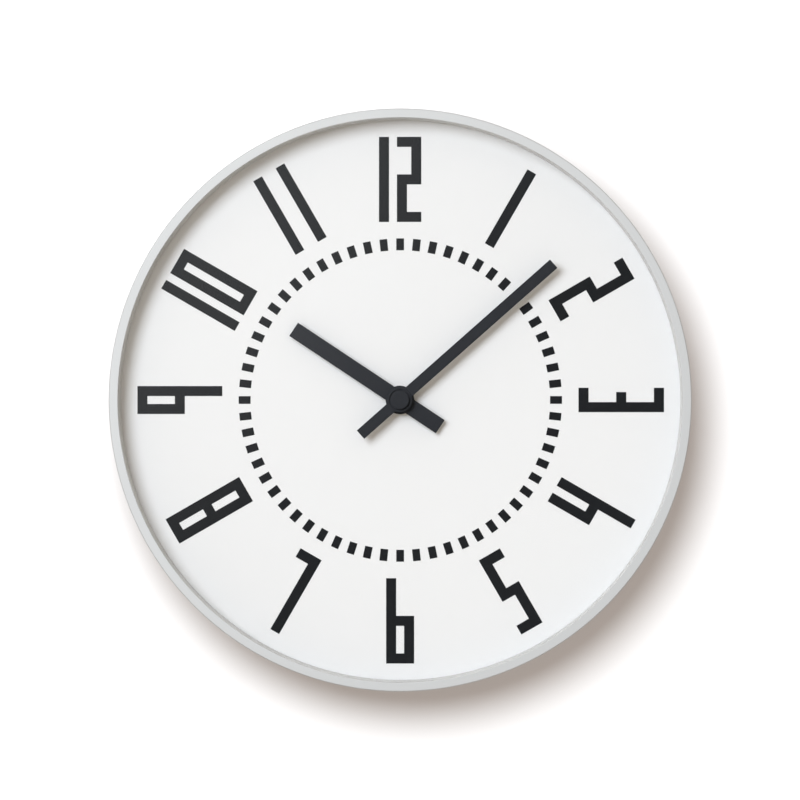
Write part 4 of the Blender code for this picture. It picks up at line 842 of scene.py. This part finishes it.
# %% [markdown]
# ## Satin aluminium
# Bead blasting leaves a grain of about a quarter of a millimetre, and the turning before it
# leaves faint lines round the axis. Anodising closes both under a thin clear skin. The metal
# stays bright and its reflections spread wide. Handling polishes it slightly in broad patches.


# %% Satin aluminium
def satin_aluminium():
    material, paint, shader = finish("satin_aluminium", metallic=1.0)
    spot = paint.spot()
    radius, height, angle = paint.polar()
    grain = paint.noise(spot, 3600, 3, 0.6)
    lines = paint.noise(paint.point(radius * 2600, height * 2600, angle * 1.5), 1, 2)
    handled = paint.noise(spot, 22, 3)
    colour = paint.mix(handled, (0.685, 0.671, 0.645), (0.715, 0.701, 0.675))
    colour = paint.mix(grain * 0.10, colour, (0.50, 0.50, 0.50))
    relief = paint.bump(grain, 0.000012, paint.bump(lines, 0.000004))
    coat(paint, shader, colour, 0.66 + 0.05 * handled + 0.05 * grain, relief)
    return material


aluminium = satin_aluminium()
dress(aluminium, case_piece)
print("the case is satin aluminium")

# %% [markdown]
# ## Clear glass
# A pane shows two things: what lies behind it, and a weak mirror image that grows towards the
# edge of sight. A Transparent shader lets the lamps through to the dial. The mirror follows
# Schlick's rule on the Facing of Layer Weight, which gives the same share from either side.


# %% Clear glass
def clear_glass():
    material, paint, shader = finish("clear_glass", metallic=1.0, base_color=(0.96, 0.97, 0.98))
    wiped = paint.noise(paint.spot(), 30, 4, 0.6)
    paint.feed(shader.inputs["Roughness"], 0.015 + 0.03 * wiped)
    facing = paint.node("ShaderNodeLayerWeight", None, {"Blend": 0.5}, output="Facing")
    mirror = 0.04 + 0.96 * facing ** 5
    through = paint.node("ShaderNodeBsdfTransparent", None, {"Color": (0.993, 0.995, 0.996)})
    paint.blend(mirror, through, Signal(paint, shader.outputs[0]))
    return material


glass = clear_glass()
dress(glass, pane)
print("the pane is clear glass")

# %% [markdown]
# ## White enamel, white plastic and ink
# Stoved enamel has a faint orange peel some millimetres across. The moulded ring is greyer and
# smoother, and mirrors the dial beside it at a grazing look. Screen ink lies on top with a fine
# mesh texture, and is not quite even.


# %% White and black of the dial
def white_enamel():
    material, paint, shader = finish("white_enamel", specular_ior_level=0.4)
    spot = paint.spot()
    cloud = paint.noise(spot, 9, 2)
    peel = paint.noise(spot, 420, 2)
    colour = paint.mix(cloud, (0.880, 0.879, 0.879), (0.892, 0.891, 0.892))
    coat(paint, shader, colour, 0.42 + 0.12 * peel, paint.bump(peel, 0.00001))
    return material


def white_plastic():
    material, paint, shader = finish("white_plastic", specular_ior_level=0.5)
    spot = paint.spot()
    cloud = paint.noise(spot, 15, 3)
    texture = paint.noise(spot, 2200, 2)
    colour = paint.mix(cloud, (0.530, 0.518, 0.495), (0.555, 0.543, 0.520))
    coat(paint, shader, colour, 0.22 + 0.12 * texture, paint.bump(texture, 0.00001))
    return material


def screen_ink():
    material, paint, shader = finish("screen_ink", specular_ior_level=0.07)
    spot = paint.spot()
    x, y, z = paint.parts(spot)
    mesh_print = paint.wave(x * 21000) * paint.wave(z * 21000) * 0.5 + 0.5
    cloud = paint.noise(spot, 60, 3)
    colour = paint.mix(cloud, (0.0115, 0.0123, 0.0140), (0.0150, 0.0160, 0.0180))
    coat(paint, shader, colour, 0.50 + 0.08 * mesh_print, paint.bump(mesh_print, 0.000002))
    return material


def hand_lacquer():
    material, paint, shader = finish("hand_lacquer", specular_ior_level=0.15)
    spot = paint.spot()
    cloud = paint.noise(spot, 40, 2)
    peel = paint.noise(spot, 1800, 2)
    colour = paint.mix(cloud, (0.0205, 0.0220, 0.0265), (0.0240, 0.0257, 0.0310))
    coat(paint, shader, colour, 0.50 + 0.12 * peel, paint.bump(peel, 0.000012))
    return material


enamel, plastic, ink, lacquer = white_enamel(), white_plastic(), screen_ink(), hand_lacquer()
dress(enamel, dial)
dress(plastic, reveal, nodes["inner_frame"])
dress(ink, *printed)
dress(lacquer, hour_hand, minute_hand, cap)
print("dial, print and hands are finished")


# %% [markdown]
# ## Plastics of the back
# Spark-eroded moulds give plastic a fine pitted texture. The cover is mid grey and coarser, and
# the movement is black and finer. Gears are moulded in natural acetal, which is creamy.


# %% Moulded plastics
def moulded(name, dark, light, pit, depth, dull):
    material, paint, shader = finish(name, specular_ior_level=0.45)
    spot = paint.spot()
    cloud = paint.noise(spot, 18, 3)
    values = {"Vector": spot, "Scale": pit, "Randomness": 1.0}
    pits = paint.node("ShaderNodeTexVoronoi", {"feature": "SMOOTH_F1"}, values)
    fine = paint.noise(spot, pit * 2.3, 3)
    colour = paint.mix(cloud * 0.6 + fine * 0.4, dark, light)
    relief = paint.bump(pits * 0.6 + fine * 0.7, depth)
    coat(paint, shader, colour, dull - 0.08 + 0.16 * fine, relief)
    return material


cover_grey = moulded("cover_grey", (0.27, 0.28, 0.29), (0.33, 0.34, 0.35), 1300, 0.00004, 0.58)
movement_black = moulded(
    "movement_black", (0.020, 0.020, 0.022), (0.032, 0.032, 0.035), 1900, 0.00002, 0.5
)
acetal = moulded("acetal", (0.72, 0.69, 0.61), (0.79, 0.77, 0.70), 2600, 0.000006, 0.45)
soft_rubber = moulded(
    "soft_rubber", (0.018, 0.018, 0.018), (0.030, 0.030, 0.030), 900, 0.00002, 0.85
)
dress(cover_grey, cover, bpy.data.objects["cover_raised_marks"])
black_nodes = ("movement_front_case", "movement_rear_cover", "control_chip")
dress(movement_black, knob, *(nodes[n] for n in black_nodes))
acetal_nodes = (
    "train_plate", "coil_bobbin", "hour_wheel", "motion_wheel", "fifth_wheel", "seconds_wheel",
    "third_wheel",
)
dress(acetal, *(nodes[n] for n in acetal_nodes))
dress(soft_rubber, nodes["rubber_washer"])
print("four moulded plastics")


# %% [markdown]
# ## Steel, brass, copper and the magnet
# Zinc plate on steel is bright and slightly blotched. Brass shows the lathe's lines. The coil is
# wound in hair-thin wire, so ridges run round it; their dark and light copper bands are painted
# shade between the turns and a painted highlight on each turn. The rotor is pressed and sintered
# powder.


# %% Metals
def zinc_steel():
    material, paint, shader = finish("zinc_steel", metallic=1.0)
    spot = paint.spot()
    blotch = paint.noise(spot, 260, 3, 0.6)
    grain = paint.noise(spot, 4200, 2)
    colour = paint.mix(blotch, (0.52, 0.53, 0.54), (0.70, 0.70, 0.69))
    coat(paint, shader, colour, 0.26 + 0.20 * blotch, paint.bump(grain, 0.000006))
    return material


def turned_brass():
    material, paint, shader = finish("turned_brass", metallic=1.0)
    radius, height, angle = paint.polar()
    lines = paint.noise(paint.point(radius * 5200, height * 5200, angle), 1, 2)
    tarnish = paint.noise(paint.spot(), 300, 3)
    colour = paint.mix(tarnish, (0.66, 0.45, 0.19), (0.78, 0.58, 0.29))
    coat(paint, shader, colour, 0.24 + 0.16 * lines, paint.bump(lines, 0.000004))
    return material


def wound_copper():
    material, paint, shader = finish("wound_copper", metallic=1.0)
    spot = paint.spot()
    x, y, z = paint.parts(spot)
    turns = paint.wave(x * 63000)
    lay = paint.noise(spot, 900, 2)
    # painted shade and highlight: dark copper in the grooves between the turns, light copper on
    # their crests; the bump gives the real ridges
    colour = paint.mix(turns * 0.5 + 0.5, (0.34, 0.12, 0.05), (0.66, 0.28, 0.13))
    coat(paint, shader, colour, 0.28 + 0.20 * lay, paint.bump(turns, 0.00002))
    return material


def sintered_magnet():
    material, paint, shader = finish("sintered_magnet", metallic=0.6)
    spot = paint.spot()
    powder = paint.noise(spot, 5200, 3, 0.7)
    colour = paint.mix(powder, (0.08, 0.08, 0.09), (0.17, 0.17, 0.18))
    coat(paint, shader, colour, 0.40 + 0.25 * powder, paint.bump(powder, 0.00001))
    return material


zinc, brass, copper, magnet = zinc_steel(), turned_brass(), wound_copper(), sintered_magnet()
steel_nodes = (
    "stator", "coil_core", "quartz_crystal", "battery_contact_positive", "battery_contact_negative",
)
dress(zinc, *(nodes[n] for n in steel_nodes), hanger)
dress(zinc, *(o for o in bpy.data.objects if o.name.startswith(("cross_recess", "domed_rivet"))))
brass_nodes = ("threaded_bush", "dial_washer", "dial_nut", "cannon_pinion", "centre_wheel")
dress(brass, *(nodes[n] for n in brass_nodes))
dress(copper, nodes["coil_winding"])
dress(magnet, nodes["rotor"])
print("metals of the back and the movement")


# %% [markdown]
# ## The board and the cell
# The board is glass cloth in green resin, with a weave of half a millimetre. The cell's jacket
# is dark for most of its length with a plain copper-coloured end, and its two ends are bare
# nickel. The bands follow the cell's own length, so they stay on it when it slides out.


# %% Circuit board and cell jacket
def board_laminate():
    material, paint, shader = finish("board_laminate", specular_ior_level=0.5)
    spot = paint.spot()
    x, y, z = paint.parts(spot)
    weave = paint.wave(x * 12500) * paint.wave(z * 12500) * 0.5 + 0.5
    colour = paint.mix(weave, (0.030, 0.17, 0.07), (0.045, 0.24, 0.10))
    coat(paint, shader, colour, 0.28 + 0.12 * weave, paint.bump(weave, 0.000015))
    return material


def cell_jacket():
    material, paint, shader = finish("cell_jacket")
    spot = paint.spot()
    x, y, z = paint.parts(spot)
    copper_end = paint.step(x, shoulder - 0.0145, shoulder - 0.0143)
    past_left = 1 - paint.step(x, left + 0.0002, left + 0.0004)
    past_right = paint.step(x, shoulder - 0.0002, shoulder - 0.0001)
    bare = past_left + past_right
    film = paint.noise(spot, 160, 3)
    body = paint.mix(copper_end, (0.016, 0.018, 0.022), (0.46, 0.22, 0.10))
    colour = paint.mix(bare, body, (0.62, 0.61, 0.58))
    coat(paint, shader, colour, 0.24 + 0.14 * film, paint.bump(film, 0.00001))
    paint.feed(shader.inputs["Metallic"], bare * 0.9 + copper_end * (1 - bare) * 0.7)
    return material


dress(board_laminate(), nodes["circuit_board"])
dress(cell_jacket(), cell)
bare_nodes = [n for n, o in nodes.items() if not o.hide_render and not o.material_slots[0].material]
print("nodes without a finish:", bare_nodes)

# %% [markdown]
# ## The wall
# The clock hangs on a white wall, which takes its shadow. The wall is seen by the camera alone,
# and only from the room's side, so that the back of the clock can be looked at too. It is lit
# white. Its warm emission is painted light: a glow, seen by the camera, that stands in for what a
# white room sends into the clock's shadow. Past the shadow's reach the glow turns plain white.

# %% White wall
WALL_SIZE, WALL_GAP = 4.0, 0.0002
SHADOW_REACH, PLAIN_WHITE = 0.30, 0.60
form = bmesh.new()
corners = rectangle(-WALL_SIZE, -WALL_SIZE, WALL_SIZE, WALL_SIZE)
form.faces.new([form.verts.new(Vector((x, WALL_GAP, z))) for x, z in corners])
mesh = bpy.data.meshes.new("wall")
form.to_mesh(mesh)
form.free()
wall = bpy.data.objects.new("wall", mesh)
bpy.context.scene.collection.objects.link(wall)
wall.visible_diffuse = wall.visible_glossy = wall.visible_transmission = False
wall.visible_shadow = False

wall_material, paint, shader = finish("white_wall", roughness=0.9, specular_ior_level=0.0)
plaster = paint.noise(paint.spot(), 700, 2)
lime = paint.mix(plaster, (0.495, 0.495, 0.495), (0.505, 0.505, 0.505))
paint.feed(shader.inputs["Base Color"], lime)
past_shadow = paint.step(paint.polar()[0], SHADOW_REACH, PLAIN_WHITE)
# painted fill light: a warm emission near the clock lightens the wall's shadow, and it turns plain
# white farther out
painted_fill_glow = paint.mix(past_shadow, (0.166, 0.137, 0.130), (1, 1, 1))
paint.feed(shader.inputs["Emission Color"], painted_fill_glow)
paint.feed(shader.inputs["Emission Strength"], 1.0)
behind = paint.node("ShaderNodeNewGeometry", output="Backfacing")
through = paint.node("ShaderNodeBsdfTransparent")
paint.blend(behind, Signal(paint, shader.outputs[0]), through)
dress(wall_material, wall)
print("wall normal:", tuple(wall.data.polygons[0].normal))

# %% [markdown]
# ## Lamps and the room
# One softbox at the upper left lights the clock. Its edge throws the soft shade inside the lip
# and beside the hands. It is aimed past the dial, so that its light fades a little across it. A
# second softbox, higher up, lights the wall alone, because a studio lights the backdrop on its
# own. A third lights the back when the clock is looked at from behind. The rest is an even room.
# Mirrors see a dim room with one pale patch at the left, and the white wall on the far side.


# %% Lamps
def softbox(name, spot, aim, width, strength, colour=(1, 1, 1)):
    """A round soft lamp whose light doesn't fade over the size of the clock."""
    lamp = bpy.data.lights.new(name, "AREA")
    lamp.shape = "DISK"
    lamp.size = width
    lamp.energy = 1.0
    lamp.color = colour
    paint = Paint(lamp)
    fade = paint.node("ShaderNodeLightFalloff", None, {"Strength": strength}, output="Constant")
    paint.feed(paint.tree.nodes["Emission"].inputs["Strength"], fade)
    holder = bpy.data.objects.new(name, lamp)
    holder.location = spot
    holder.rotation_euler = (Vector(aim) - Vector(spot)).to_track_quat("-Z", "Y").to_euler()
    bpy.context.scene.collection.objects.link(holder)
    return holder


def lights(lamp, rule, *pieces):
    """Limits a lamp to some pieces, or keeps it off them."""
    group = bpy.data.collections.new(f"{lamp.name}_{rule.lower()}")
    for piece in pieces:
        group.objects.link(piece)
    lamp.light_linking.receiver_collection = group
    for entry in group.collection_objects:
        entry.light_linking.link_state = rule


def round_dial(degrees, side, height):
    """A place at a clock angle, a distance to the side of the axis and a height from the wall."""
    turn = math.radians(degrees)
    return place(side * math.sin(turn), side * math.cos(turn), height)


KEY_SIDE, KEY_DEPTH, KEY_TURN, KEY_TILT = 0.482, 1.000, 307, 60
key_spot = round_dial(KEY_TURN, KEY_SIDE, CASE_DEPTH + KEY_DEPTH)
beyond = math.tan(math.radians(KEY_TILT)) * KEY_DEPTH - KEY_SIDE
key_aim = round_dial(KEY_TURN, -beyond, CASE_DEPTH)
key = softbox("key_softbox", key_spot, key_aim, 0.62, 8.9, (0.976, 1.043, 1.126))
lights(key, "EXCLUDE", wall, pane)

dial_centre = place(0, 0, 0)
wash_spot = round_dial(330, 0.248, 0.860)
wash = softbox("wall_softbox", wash_spot, dial_centre, 0.43, 17.0, (0.955, 1.0, 1.045))
lights(wash, "INCLUDE", wall)

rear = softbox("rear_softbox", (-0.5, 1.0, 0.35), dial_centre, 0.9, 5.0)
lights(rear, "EXCLUDE", wall)
print("three softboxes")

# %% Room
world = bpy.data.worlds.new("white_room")
bpy.context.scene.world = world
paint = Paint(world)
direction = paint.node("ShaderNodeTexCoord", output="Generated")
dx, dy, dz = paint.parts(direction)
toward_wall = paint.step(dy, 0.15, 0.70)
camera_zone = paint.step(0 - dy, 0.88, 0.975)
glow = paint.step(dz - dx, 0.0, 0.18)
dark_card = paint.mix(glow, (0.004, 0.004, 0.004), (0.35, 0.35, 0.35))
white_room = paint.mix(camera_zone, (0.45, 0.45, 0.45), dark_card)
seen_in_mirrors = paint.mix(toward_wall, white_room, (0.78, 0.78, 0.78))
ambient = (0.530, 0.470, 0.395)
light_path = paint.node("ShaderNodeLightPath", output="Is Camera Ray").socket.node
camera_ray, glossy_ray, clear_ray = (
    Signal(paint, light_path.outputs[n])
    for n in ("Is Camera Ray", "Is Glossy Ray", "Is Transmission Ray")
)
room = paint.mix(glossy_ray, ambient, seen_in_mirrors)
room = paint.mix(camera_ray, room, (1, 1, 1))
room = paint.mix(clear_ray, room, (1, 1, 1))
background = paint.tree.nodes["Background"]
paint.feed(background.inputs["Color"], room)
print("room set")

# %% [markdown]
# ## The camera
# The photograph was taken from about 1.2 m, a little to the right of the clock's axis and a
# little below it. That shows in where the minute track and the lip are centred. The focal
# length makes the lip as wide as it is in the photograph.

# %% Camera
LENS_DISTANCE, SENSOR = 1.181, 36
FRAME_WIDTH = 800 * 0.00049708
camera = bpy.data.objects.new("camera", bpy.data.cameras.new("camera"))
camera.data.sensor_width = SENSOR
camera.data.lens = SENSOR * LENS_DISTANCE / FRAME_WIDTH
eye = place(0.0240, -0.0080, CASE_DEPTH + LENS_DISTANCE)
target = place(0.00026, -0.00011, CASE_DEPTH)
camera.location = eye
camera.rotation_euler = (target - eye).to_track_quat("-Z", "Y").to_euler()
bpy.context.scene.collection.objects.link(camera)
bpy.context.scene.camera = camera
bpy.context.scene.view_settings.view_transform = "Standard"
print(f"focal length {camera.data.lens:.1f} mm")
